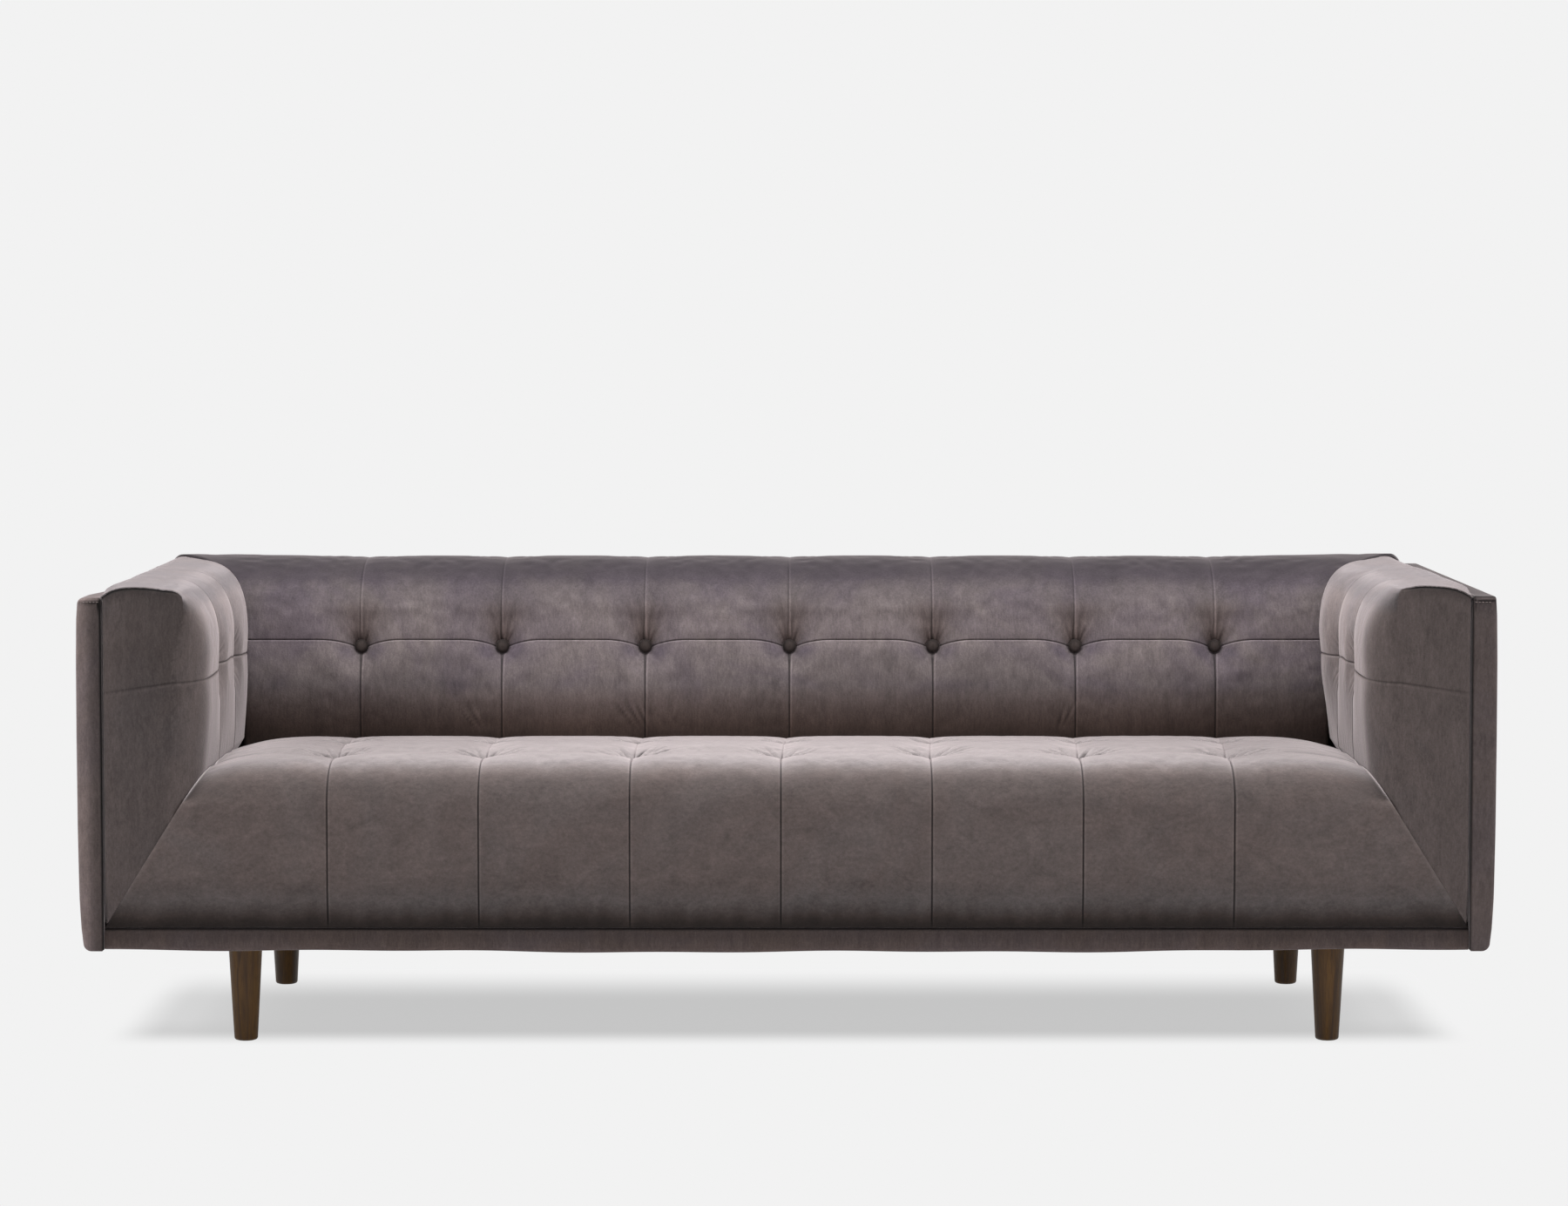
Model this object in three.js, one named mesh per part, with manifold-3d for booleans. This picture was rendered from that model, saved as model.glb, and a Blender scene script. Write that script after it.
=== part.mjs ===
// A three-seat tuxedo sofa: arms as high as the back, a tight tufted seat, arms and back on a
// wooden frame, flat upholstered panels outside and four turned legs. Lengths are millimetres.
// +X runs to the right of someone facing the sofa, +Y to its rear, +Z up from the floor.
// Places front to rear are given as d, the distance behind the front of the outer panels.
import * as THREE from "three";
import Module from "manifold-3d";
import { mergeVertices } from "three/addons/utils/BufferGeometryUtils.js";

const wasm = await Module();
wasm.setup();

// Clearances
const gap = 0.3; // left between two pieces that touch
const overrun = 60; // how far a cutter runs past what it cuts

// Outer panels
const sofaWidth = 2216;
const sofaDepth = 880;
const panelThickness = 40;
const panelHeight = 553;
const sidePanelDrop = 2; // the side panels hang this far below the body
const panelPuff = 9; // how far the side panel's face swells between its edges
const panelTopRound = 10;
const panelFootRound = 24;
const panelEdgeRound = 6;

// Legs and what holds them
const legHeight = 163.7;
const legTopRadius = 27.5;
const legFootRadius = 18.5;
const legFootRound = 4.5;
const boltRadius = 4;
const boltInLeg = 30;
const boltInBlock = 34;
const boltTip = 3;
const blockSide = 140;
const blockThickness = 40;
const blockClip = 55; // corner cut off each block, away from the rails
const sidePanelToLeg = 244.5; // outer face of a side panel to a leg's axis

// Base frame
const dustCoverThickness = 2;
const railThickness = 30;
const railHeight = 148;
const stretcherHeight = 100;
const postThickness = 49; // posts and top rails of the arms and back, square to their panel
const postWidth = 50;
const topRailHeight = 48;
const foamOverTopRail = 28.4; // pad between a top rail and the top of the outer panels

// Seat springs and the felt over them
const springCount = 10;
const springBars = 21;
const springHalfWidth = 24;
const wireRadius = 1.9;
const wireSides = 5;
const springRise = 14;
const clipLength = 18;
const clipThickness = 1.6;
const clipSink = 1; // how deep a clip's feet are driven into the rail
const feltThickness = 4;
const feltSideMargin = 14; // felt that runs past each seat side rail

// Front band under the seat
const bandHeight = 33.5;
const frontFoam = 45.7; // padding in front of the front rail
const bandSetBack = 9;
const bandRound = 9;

// Pads: heights are from the underside of the body
const seatCrownHeight = 294;
const seatCornerHeight = 276; // where the seat, an arm and the mitre of the front cover meet
const seatFrontRoundDepth = 95;
const seatFrontRoundDrop = 66;
const seatFaceBottomInset = 12; // the front cover rolls under before it meets the band
const seatRearDrop = 18; // the seat's top falls from its middle to the back
const seatSideDrop = 26;
const armSeamHeight = 426;
const backSeamHeight = 430;
const seamScallop = 12; // the back's seam rises between the buttons
const scallopReach = 70;
const frontFaceCrown = 6;
const frontFaceInset = 3;
const armFrontRound = 38;
const mitreGap = 0.6;

const armPad = {
  thickness: 151, // at the seat, from the outer panel to the sitter
  lean: -10, // how much thinner it is where the shoulder starts
  bulge: 3,
  crestInset: 68, // outer panel to the highest line
  crestRise: 17, // highest line above the outer panel
  shoulderDrop: 109,
  shoulderPower: 2.6,
};
const backPad = {
  thickness: 243,
  lean: 19,
  bulge: 9,
  crestInset: 83,
  crestRise: 20,
  shoulderDrop: 100,
  shoulderPower: 2.2,
};

// Tufting: depths are below the crown of the pad
const tuftCount = 7; // across the seat and the back
const endPanelWidth = 192.5; // last tuft to the arm
const armTuftRowShares = [0.425, 0.76]; // of the seat's depth, on each arm
const seatTuftRowShares = [0.32, 0.7]; // of the seat's depth, on the seat
const tuftDepth = 15;
const seatTuftDepth = 11;
const tuftReach = 78;
const tuftCore = 16; // stations this close keep a tuft sharp
const seamDepth = 7;
const seatSeamDepth = 4.5;
const seamReach = 60;
const buttonRadius = 11;
const buttonHeight = 7;
const buttonEdge = 2;

// Shares along a form, chosen by hand
const topRowShares = [0.4, 0.75];
const shoulderAngleShares = [0, 0.22, 0.44, 0.66, 0.85];
const lowerRowShares = [0.62, 0.3];
const seamShiftShares = [0.4, 1, 1, 1, 0.3, 0, 0]; // how far each row of a face moves with its seam
const endStationShares = [0.45, 0.8, 1];
const frontRoundAngleShares = [0, 0.35, 0.7];
const frontFaceHeightShares = [0.52, 0.14];
const frontFaceInsetShares = [0, 0.4];
const armRoundShares = [0, 0.3, 0.65, 1];
const faceRingShare = 0.72; // size of the crowned middle of an arm's front
const buttonDomeShares = [0.75, 0.8]; // of a button's radius and height, where its dome turns flat

// Heights above the floor
const bodyBottom = legHeight + gap;
const frameBottom = bodyBottom + dustCoverThickness + gap;
const railTop = frameBottom + railHeight;
const panelTop = bodyBottom + panelHeight;
const frameTop = panelTop - foamOverTopRail - gap;
const bandTop = bodyBottom + bandHeight;
const seatCorner = bodyBottom + seatCornerHeight;
const seatCrown = bodyBottom + seatCrownHeight;
const armSeam = bodyBottom + armSeamHeight;
const backSeam = bodyBottom + backSeamHeight;

// Places across the sofa, for its right half
const panelInnerX = sofaWidth / 2 - panelThickness;
const padOuterX = panelInnerX - gap;
const armFrameX = padOuterX - postThickness / 2;
const armInnerX = panelInnerX - armPad.thickness;
const legX = sofaWidth / 2 - sidePanelToLeg;
const sideRailX = legX + blockSide / 2 + gap + railThickness / 2;
const tuftPitch = (2 * (armInnerX - endPanelWidth)) / (tuftCount - 1);
const springPitch = (2 * legX + blockSide + 2 * gap) / springCount;

// Places front to rear
const yAt = (d) => d - sofaDepth / 2;
const backInnerD = sofaDepth - panelThickness;
const frontRailD = frontFoam + gap + railThickness / 2;
const rearRailD = backInnerD - gap - railThickness / 2;
const frontRailBackD = frontRailD + railThickness / 2 + gap;
const rearRailFrontD = rearRailD - railThickness / 2 - gap;
const postD = rearRailFrontD - postThickness / 2;
const postFrontD = postD - postThickness / 2;
const armFrontPostD = frontRailBackD + postWidth / 2;
const legDs = [frontRailBackD + blockSide / 2, rearRailFrontD - blockSide / 2];
const seatDepth = backInnerD - backPad.thickness;
const armTuftDs = armTuftRowShares.map((share) => share * seatDepth);
const seatTuftDs = seatTuftRowShares.map((share) => share * seatDepth);

// Seat deck: the springs rise in a shallow arc between the rails
const springEndZ = railTop + gap + wireRadius;
const deckMiddleD = (frontRailD + rearRailD) / 2;
const deckHalfSpan = (rearRailD - frontRailD) / 2;
const deckAt = (d) =>
  springEndZ + springRise * Math.max(0, 1 - ((d - deckMiddleD) / deckHalfSpan) ** 2);
const feltOffset = wireRadius + gap + clipThickness + gap;
const padOffset = feltOffset + feltThickness + gap;

// Meshes and finishes
const sofa = new THREE.Group();
const finishes = {
  velvet: { color: 0x6b5f62, roughness: 0.85, metalness: 0 },
  legWood: { color: 0x4e3c28, roughness: 0.5, metalness: 0 },
  frameWood: { color: 0xc8a878, roughness: 0.8, metalness: 0 },
  steel: { color: 0x8d9095, roughness: 0.35, metalness: 0.9 },
  felt: { color: 0x8a8478, roughness: 0.95, metalness: 0 },
  cambric: { color: 0x1d1c1d, roughness: 0.95, metalness: 0 },
};

function addPiece(name, geometry, finish) {
  const mesh = new THREE.Mesh(geometry, new THREE.MeshStandardMaterial(finishes[finish]));
  mesh.name = name;
  sofa.add(mesh);
  return mesh;
}

// Box given by its size and its middle.
function box(width, depth, height, x, d, z) {
  return new THREE.BoxGeometry(width, depth, height).translate(x, yAt(d), z);
}

// Solids for cutting and joining.
function toSolid(geometry) {
  const bare = new THREE.BufferGeometry();
  bare.setAttribute("position", geometry.getAttribute("position").clone());
  if (geometry.index) bare.setIndex(geometry.index.clone());
  const merged = mergeVertices(bare);
  const { array } = merged.attributes.position;
  const triVerts = new Uint32Array(merged.index.array);
  return new wasm.Manifold(new wasm.Mesh({ numProp: 3, vertProperties: array, triVerts }));
}

function toGeometry(solid) {
  const { vertProperties, triVerts } = solid.getMesh();
  const geometry = new THREE.BufferGeometry();
  geometry.setAttribute("position", new THREE.BufferAttribute(vertProperties, 3));
  geometry.setIndex(new THREE.BufferAttribute(triVerts, 1));
  return geometry;
}

const cut = (geometry, cutters) =>
  toGeometry(cutters.reduce((solid, cutter) => solid.subtract(toSolid(cutter)), toSolid(geometry)));

const join = (geometry, others) =>
  toGeometry(others.reduce((solid, other) => solid.add(toSolid(other)), toSolid(geometry)));

// Geometry from corner points and triangles, turned so that its faces point out.
function closedGeometry(points, triangles) {
  let volume = 0;
  for (let i = 0; i < triangles.length; i += 3) {
    const [a, b, c] = [points[triangles[i]], points[triangles[i + 1]], points[triangles[i + 2]]];
    volume += a.dot(new THREE.Vector3().crossVectors(b, c));
  }
  const index = volume < 0 ? [...triangles].reverse() : triangles;
  const geometry = new THREE.BufferGeometry().setFromPoints(points);
  geometry.setIndex(index);
  return geometry;
}

// Closed solid through rings of points in like order, each end closed by a fan to its centre.
function loft(rings, startCentre, endCentre) {
  const count = rings[0].length;
  const points = [...rings.flat(), startCentre, endCentre];
  const start = points.length - 2;
  const last = (rings.length - 1) * count;
  const triangles = [];
  for (let i = 0; i < count; i += 1) {
    const next = (i + 1) % count;
    for (let base = 0; base < last; base += count) {
      const [a, b, c, e] = [base + i, base + next, base + count + next, base + count + i];
      triangles.push(a, b, c, a, c, e);
    }
    triangles.push(start, next, i, start + 1, last + i, last + next);
  }
  return closedGeometry(points, triangles);
}

// Upright prism over a plan outline of [x, d] corners.
function uprightPrism(corners, low, high) {
  const outline = new THREE.Shape(corners.map(([x, d]) => new THREE.Vector2(x, yAt(d))));
  const prism = new THREE.ExtrudeGeometry(outline, { depth: high - low, bevelEnabled: false });
  return prism.translate(0, 0, low);
}

// Tufting. A crease is sharp at its line and dies out at its reach.
const crease = (distance, depth, reach) => depth * Math.max(0, 1 - Math.abs(distance) / reach) ** 2;
const tuftXs = Array.from({ length: tuftCount }, (_, i) => (i - (tuftCount - 1) / 2) * tuftPitch);

const upright = { seam: seamDepth, tuft: tuftDepth };
const seat = { seam: seatSeamDepth, tuft: seatTuftDepth };

function tuftedDepth(u, v, us, vs, depths) {
  const seams = [...us.map((s) => u - s), ...vs.map((s) => v - s)];
  const tufts = us.flatMap((a) => vs.map((b) => Math.hypot(u - a, v - b)));
  const seam = Math.max(...seams.map((distance) => crease(distance, depths.seam, seamReach)));
  return seam + crease(Math.min(...tufts), depths.tuft, tuftReach);
}

// How thick an arm or back pad is at a height on its face.
function faceThickness(pad, z) {
  const shoulderZ = panelTop + pad.crestRise - pad.shoulderDrop;
  const share = (z - seatCorner) / (shoulderZ - seatCorner);
  return pad.thickness - pad.lean * share + pad.bulge * Math.sin(Math.PI * share);
}

// Section of an arm or back pad, from the outer panel over the top and down to the seat corner:
// t is the distance from the outer panel, z the height. The seam's height may vary along the pad.
function padRows(pad, seam, seamShift) {
  const shoulderZ = panelTop + pad.crestRise - pad.shoulderDrop;
  const reach = faceThickness(pad, shoulderZ) - pad.crestInset;
  const top = [0, ...topRowShares].map((share) => ({
    t: gap + (pad.crestInset - gap) * share,
    z: panelTop + pad.crestRise * Math.sin((Math.PI / 2) * share),
  }));
  const shoulder = shoulderAngleShares.map((share) => {
    const across = Math.sin((Math.PI / 2) * share) ** (2 / pad.shoulderPower);
    const up = Math.cos((Math.PI / 2) * share) ** (2 / pad.shoulderPower);
    return { t: pad.crestInset + reach * across, z: shoulderZ + pad.shoulderDrop * up };
  });
  const lower = lowerRowShares.map((share) => seatCorner + (seam - tuftCore - seatCorner) * share);
  const faceZs = [shoulderZ, seam + tuftCore, seam, seam - tuftCore, ...lower, seatCorner];
  const face = faceZs.map((z, i) => ({
    t: faceThickness(pad, z),
    z: z + seamShift * seamShiftShares[i],
  }));
  return [...top, ...shoulder, ...face];
}

// Rows pressed in, square to the section, by the depth that depthAt gives for each height.
function pressRows(rows, depthAt) {
  return rows.map((row, i) => {
    const [before, after] = [rows[Math.max(i - 1, 0)], rows[Math.min(i + 1, rows.length - 1)]];
    const length = Math.hypot(after.t - before.t, after.z - before.z);
    const depth = i === 0 ? 0 : depthAt(row.z) / length;
    return { t: row.t + (after.z - before.z) * depth, z: row.z - (after.t - before.t) * depth };
  });
}

// The mitre between seat and arm: one slanting plane from the band's end to the seat corner.
const mitreSlope = armPad.thickness / (seatCorner - bandTop);
const mitreX = (z) => panelInnerX - (z - bandTop) * mitreSlope;

// Side, rear and front covers over boards: the outer panels.
function sidePanelOutline() {
  const [inner, outer] = [panelInnerX, sofaWidth / 2 - panelPuff];
  const low = bodyBottom - sidePanelDrop;
  const bow = new THREE.Vector2(outer + 2 * panelPuff, (low + panelTop) / 2);
  const outline = new THREE.Shape();
  outline.moveTo(inner, low);
  outline.lineTo(outer - panelFootRound, low);
  outline.quadraticCurveTo(outer, low, outer, low + panelFootRound);
  outline.quadraticCurveTo(bow.x, bow.y, outer, panelTop - panelTopRound);
  outline.quadraticCurveTo(outer, panelTop, outer - panelTopRound, panelTop);
  outline.lineTo(inner, panelTop);
  return outline;
}

function sidePanel(side) {
  const bevel = {
    bevelThickness: panelEdgeRound,
    bevelSize: panelEdgeRound,
    bevelOffset: -panelEdgeRound,
    bevelSegments: 2,
  };
  const depth = sofaDepth - 2 * panelEdgeRound;
  const panel = new THREE.ExtrudeGeometry(sidePanelOutline(), { depth, curveSegments: 6, ...bevel });
  panel.rotateX(Math.PI / 2).translate(0, depth / 2, 0);
  return side > 0 ? panel : panel.rotateZ(Math.PI);
}

function backPanel() {
  const [halfWidth, height] = [panelInnerX - gap, panelHeight];
  const corners = [
    [-halfWidth, 0],
    [halfWidth, 0],
    [halfWidth, height],
    [-halfWidth, height],
  ];
  const outline = new THREE.Shape(corners.map(([x, z]) => new THREE.Vector2(x, z)));
  const panel = new THREE.ExtrudeGeometry(outline, {
    depth: panelThickness - 2 * panelEdgeRound,
    bevelThickness: panelEdgeRound,
    bevelSize: panelEdgeRound,
    bevelOffset: -panelEdgeRound,
    bevelSegments: 2,
  });
  return panel.rotateX(Math.PI / 2).translate(0, yAt(sofaDepth - panelEdgeRound), bodyBottom);
}

// Legs, the blocks that they screw to, and their hanger bolts.
function leg() {
  const hole = boltRadius + gap;
  const outline = [
    [0, 0],
    [legFootRadius - legFootRound, 0],
    [legFootRadius, legFootRound],
    [legTopRadius, legHeight],
    [hole, legHeight],
    [hole, legHeight - boltInLeg - gap],
    [0, legHeight - boltInLeg - gap],
  ];
  const points = outline.map(([r, z]) => new THREE.Vector2(r, z));
  return new THREE.LatheGeometry(points, 20).rotateX(Math.PI / 2);
}

function hangerBolt() {
  const [low, high] = [legHeight - boltInLeg, frameBottom + boltInBlock];
  const outline = [
    [0, low],
    [boltRadius - boltTip, low],
    [boltRadius, low + boltTip],
    [boltRadius, high - boltTip / 2],
    [boltRadius - boltTip / 2, high],
    [0, high],
  ];
  const points = outline.map(([r, z]) => new THREE.Vector2(r, z));
  return new THREE.LatheGeometry(points, 8).rotateX(Math.PI / 2);
}

// Block centred on its leg; inX and inD point away from the rails, where the corner is clipped.
function legBlock(x, d, inX, inD) {
  const half = blockSide / 2;
  const clip = half - blockClip;
  const corners = [
    [x - inX * half, d - inD * half],
    [x - inX * half, d + inD * half],
    [x + inX * clip, d + inD * half],
    [x + inX * half, d + inD * clip],
    [x + inX * half, d - inD * half],
  ];
  const block = uprightPrism(corners, frameBottom, frameBottom + blockThickness);
  return cut(closedFrom(block), [boltHole(x, d)]);
}

function boltHole(x, d) {
  const hole = new THREE.CylinderGeometry(boltRadius + gap, boltRadius + gap, 2 * overrun, 8);
  return hole.rotateX(Math.PI / 2).translate(x, yAt(d), frameBottom);
}

// The same faces, turned out if the outline ran the other way round.
function closedFrom(geometry) {
  const bare = new THREE.BufferGeometry();
  bare.setAttribute("position", geometry.getAttribute("position").clone());
  const merged = mergeVertices(bare);
  const { array } = merged.attributes.position;
  const points = [];
  for (let i = 0; i < array.length; i += 3) points.push(new THREE.Vector3(...array.slice(i, i + 3)));
  return closedGeometry(points, [...merged.index.array]);
}

const legPlaces = [
  ["front_left", -1, legDs[0], 1],
  ["front_right", 1, legDs[0], 1],
  ["rear_left", -1, legDs[1], -1],
  ["rear_right", 1, legDs[1], -1],
];
for (const [place, side, d, inD] of legPlaces) {
  addPiece(`leg_${place}`, leg(), "legWood").position.set(side * legX, yAt(d), 0);
  addPiece(`hanger_bolt_${place}`, hangerBolt(), "steel").position.set(side * legX, yAt(d), 0);
  addPiece(`leg_block_${place}`, legBlock(side * legX, d, -side, inD), "frameWood");
}

// Base frame. Each spring end lies in a steel clip driven into the top of its rail.
const springXs = Array.from({ length: springCount }, (_, i) => (i - (springCount - 1) / 2) * springPitch);

function springClip(x, d) {
  const inside = wireRadius + gap;
  const [wide, top] = [inside + clipThickness, 2 * inside + clipThickness];
  const corners = [
    [-wide, -clipSink],
    [-inside, -clipSink],
    [-inside, 2 * inside],
    [inside, 2 * inside],
    [inside, -clipSink],
    [wide, -clipSink],
    [wide, top],
    [-wide, top],
  ];
  const outline = new THREE.Shape(corners.map(([y, z]) => new THREE.Vector2(y, z)));
  const clip = new THREE.ExtrudeGeometry(outline, { depth: clipLength, bevelEnabled: false });
  clip.rotateX(Math.PI / 2).rotateZ(Math.PI / 2);
  return closedFrom(clip.translate(x - clipLength / 2, yAt(d), railTop));
}

function crossRail(d) {
  const rail = box(2 * padOuterX, railThickness, railHeight, 0, d, frameBottom + railHeight / 2);
  return join(rail, springXs.map((x) => springClip(x, d)));
}

addPiece("base_front_rail", crossRail(frontRailD), "frameWood");
addPiece("base_rear_rail", crossRail(rearRailD), "frameWood");

const railSpan = rearRailFrontD - frontRailBackD;
const railMiddleD = (rearRailFrontD + frontRailBackD) / 2;

// The stretcher runs from the front rail to the centre post of the back.
function centreStretcher() {
  const [front, rear] = [frontRailBackD, postFrontD - gap];
  const z = frameBottom + stretcherHeight / 2;
  return box(railThickness, rear - front, stretcherHeight, 0, (front + rear) / 2, z);
}

addPiece("seat_centre_stretcher", centreStretcher(), "frameWood");

// Arm and back frames stand inside the pads, against the base frame.
const armRailFrontD = armFrontPostD + postWidth / 2 + gap;
const armRailRearD = postFrontD - gap;
const armRailSpan = armRailRearD - armRailFrontD;
const armRailD = (armRailRearD + armRailFrontD) / 2;
const postHeight = frameTop - frameBottom;
const postZ = (frameTop + frameBottom) / 2;
const topRailZ = frameTop - topRailHeight / 2;
for (const [name, side] of [
  ["left", -1],
  ["right", 1],
]) {
  const x = side * armFrameX;
  const [baseZ, sideX] = [frameBottom + railHeight / 2, side * sideRailX];
  const sideRail = box(railThickness, railSpan, railHeight, sideX, railMiddleD, baseZ);
  addPiece(`seat_side_rail_${name}`, sideRail, "frameWood");
  const baseRail = box(postThickness, armRailSpan, railHeight, x, armRailD, baseZ);
  addPiece(`arm_base_rail_${name}`, baseRail, "frameWood");
  const frontPost = box(postThickness, postWidth, postHeight, x, armFrontPostD, postZ);
  addPiece(`arm_front_post_${name}`, frontPost, "frameWood");
  const cornerPost = box(postThickness, postThickness, postHeight, x, postD, postZ);
  addPiece(`corner_post_${name}`, cornerPost, "frameWood");
  const topRail = box(postThickness, armRailSpan, topRailHeight, x, armRailD, topRailZ);
  addPiece(`arm_top_rail_${name}`, topRail, "frameWood");
}

const backRailWidth = 2 * (armFrameX - postThickness / 2 - gap);
const backRail = box(backRailWidth, postThickness, topRailHeight, 0, postD, topRailZ);
addPiece("back_top_rail", backRail, "frameWood");
const backPostHeight = postHeight - topRailHeight - gap;
for (const [name, place] of [
  ["left", -1],
  ["centre", 0],
  ["right", 1],
]) {
  const x = place * 2 * springPitch;
  const z = frameBottom + backPostHeight / 2;
  const post = box(postWidth, postThickness, backPostHeight, x, postD, z);
  addPiece(`back_post_${name}`, post, "frameWood");
}

// Sinuous springs: one wire bent to and fro, with its first and last bars in the clips.
function sinuousSpring(x) {
  const barSpan = (rearRailD - frontRailD) / (springBars - 1);
  const path = [];
  for (let bar = 0; bar < springBars; bar += 1) {
    const d = frontRailD + bar * barSpan;
    const turn = bar % 2 === 0 ? 1 : -1;
    for (const end of [-turn, turn]) {
      path.push(new THREE.Vector3(x + end * springHalfWidth, yAt(d), deckAt(d)));
    }
  }
  return wireAlong(path);
}

// Wire of wireSides sides along straight runs, mitred where they meet.
function wireAlong(path) {
  const up = new THREE.Vector3(0, 0, 1);
  const rings = path.map((point, i) => {
    const into = point.clone().sub(path[i - 1] ?? point).normalize();
    const out = (path[i + 1] ?? point).clone().sub(point).normalize();
    const along = into.clone().add(out).normalize();
    const across = new THREE.Vector3().crossVectors(along, up).normalize();
    const run = into.lengthSq() > 0 ? into : out;
    const stretch = 1 / along.dot(run);
    return Array.from({ length: wireSides }, (_, side) => {
      const angle = (2 * Math.PI * side) / wireSides;
      const sideways = across.clone().multiplyScalar(wireRadius * stretch * Math.cos(angle));
      return point.clone().add(sideways).addScaledVector(up, wireRadius * Math.sin(angle));
    });
  });
  return loft(rings, path[0], path[path.length - 1]);
}

springXs.forEach((x, i) => {
  addPiece(`seat_spring_${i + 1}`, sinuousSpring(x), "steel");
});

// Felt over the springs, lying on the clips.
const feltFrontD = frontFoam + gap;
const feltRearD = postFrontD - gap;
const deckShares = [0, 0.12, 0.3, 0.5, 0.7, 0.85, 1];
const deckDs = deckShares.map((share) => feltFrontD + (feltRearD - feltFrontD) * share);

function springFelt() {
  const under = deckDs.map((d) => new THREE.Vector2(yAt(d), deckAt(d) + feltOffset));
  const over = under.map((p) => new THREE.Vector2(p.x, p.y + feltThickness)).reverse();
  const width = 2 * (sideRailX + railThickness / 2 + feltSideMargin);
  const outline = new THREE.Shape([...under, ...over]);
  const felt = new THREE.ExtrudeGeometry(outline, { depth: width, bevelEnabled: false });
  felt.rotateX(Math.PI / 2).rotateZ(Math.PI / 2);
  return closedFrom(felt.translate(-width / 2, 0, 0));
}

addPiece("spring_felt", springFelt(), "felt");

// Dust cover under the frame, pierced for the bolts.
const coverDepth = backInnerD - gap - (frontFoam + gap);
const coverD = (backInnerD + frontFoam) / 2;
const coverZ = bodyBottom + dustCoverThickness / 2;
addPiece(
  "dust_cover",
  cut(
    box(2 * padOuterX, coverDepth, dustCoverThickness, 0, coverD, coverZ),
    legPlaces.map(([, side, d]) => boltHole(side * legX, d)),
  ),
  "cambric",
);

// Band along the foot of the front, under the seat cover.
function frontBand() {
  const [front, rear, top] = [yAt(bandSetBack), yAt(frontFoam), bandTop - gap];
  const outline = new THREE.Shape();
  outline.moveTo(rear, bodyBottom);
  outline.lineTo(rear, top);
  outline.lineTo(front + bandRound / 2, top);
  outline.quadraticCurveTo(front, top, front, top - bandRound);
  outline.lineTo(front, bodyBottom + bandRound);
  outline.quadraticCurveTo(front, bodyBottom, front + bandRound, bodyBottom);
  const band = new THREE.ExtrudeGeometry(outline, {
    depth: 2 * padOuterX,
    bevelEnabled: false,
    curveSegments: 3,
  });
  band.rotateX(Math.PI / 2).rotateZ(Math.PI / 2);
  return closedFrom(band.translate(-padOuterX, 0, 0));
}

addPiece("front_band", frontBand(), "velvet");
addPiece("outer_side_panel_left", sidePanel(-1), "velvet");
addPiece("outer_side_panel_right", sidePanel(1), "velvet");
addPiece("outer_back_panel", backPanel(), "velvet");

// Buttons: covered domes, each in a pocket at the bottom of its tuft.
function button() {
  const outline = [
    [0, 0],
    [buttonRadius, 0],
    [buttonRadius, buttonEdge],
    [buttonRadius * buttonDomeShares[0], buttonHeight * buttonDomeShares[1]],
    [0, buttonHeight],
  ];
  const points = outline.map(([r, z]) => new THREE.Vector2(r, z));
  return new THREE.LatheGeometry(points, 12).rotateX(Math.PI / 2);
}

function buttonPocket() {
  const radius = buttonRadius + gap;
  const pocket = new THREE.CylinderGeometry(radius, radius, overrun, 12);
  return pocket.rotateX(Math.PI / 2).translate(0, 0, overrun / 2);
}

// Stations along a pad: close together at each tuft, wider between.
const tuftOffsets = [-seamReach, -tuftCore, 0, tuftCore, seamReach];
const tuftStations = (places) => places.flatMap((p) => tuftOffsets.map((offset) => p + offset));

// Back pad: full width, mitred to the arm pads at both corners.
const scallop = (x) => {
  const nearest = Math.min(...tuftXs.map((tuft) => Math.abs(x - tuft)));
  return seamScallop * (1 - Math.max(0, 1 - nearest / scallopReach) ** 2);
};
const deckTopAtSeatBack = deckAt(seatDepth) + padOffset;

function backPadRing(x) {
  const seam = backSeam + scallop(x);
  const rows = pressRows(padRows(backPad, backSeam, scallop(x)), (z) =>
    tuftedDepth(x, z, tuftXs, [seam], upright),
  );
  const foot = [
    { t: backPad.thickness, z: deckTopAtSeatBack },
    { t: gap, z: deckTopAtSeatBack },
  ];
  return [...rows, ...foot].map(({ t, z }) => new THREE.Vector3(x, yAt(backInnerD - t), z));
}

function backPadGeometry() {
  const lastTuft = tuftXs[tuftCount - 1] + seamReach;
  const ends = endStationShares.map((share) => lastTuft + (padOuterX - lastTuft) * share);
  const xs = [...ends.map((x) => -x).reverse(), ...tuftStations(tuftXs), ...ends];
  const rings = xs.map(backPadRing);
  const middle = (x) => new THREE.Vector3(x, yAt(backInnerD - backPad.crestInset), armSeam);
  const whole = loft(rings, middle(-padOuterX), middle(padOuterX));
  const recessD = (postFrontD - gap + sofaDepth) / 2;
  const recessDepth = sofaDepth - (postFrontD - gap);
  const recessTop = frameTop + gap;
  const recess = box(2 * sofaWidth, recessDepth, recessTop, 0, recessD, recessTop / 2);
  const pockets = tuftXs.map((x) => {
    const pocket = buttonPocket().rotateX(Math.PI / 2);
    return pocket.translate(x, yAt(backButtonD), backSeam);
  });
  return cut(whole, [recess, ...pockets, cornerCut(1, 1), cornerCut(-1, 1)]);
}

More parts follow.
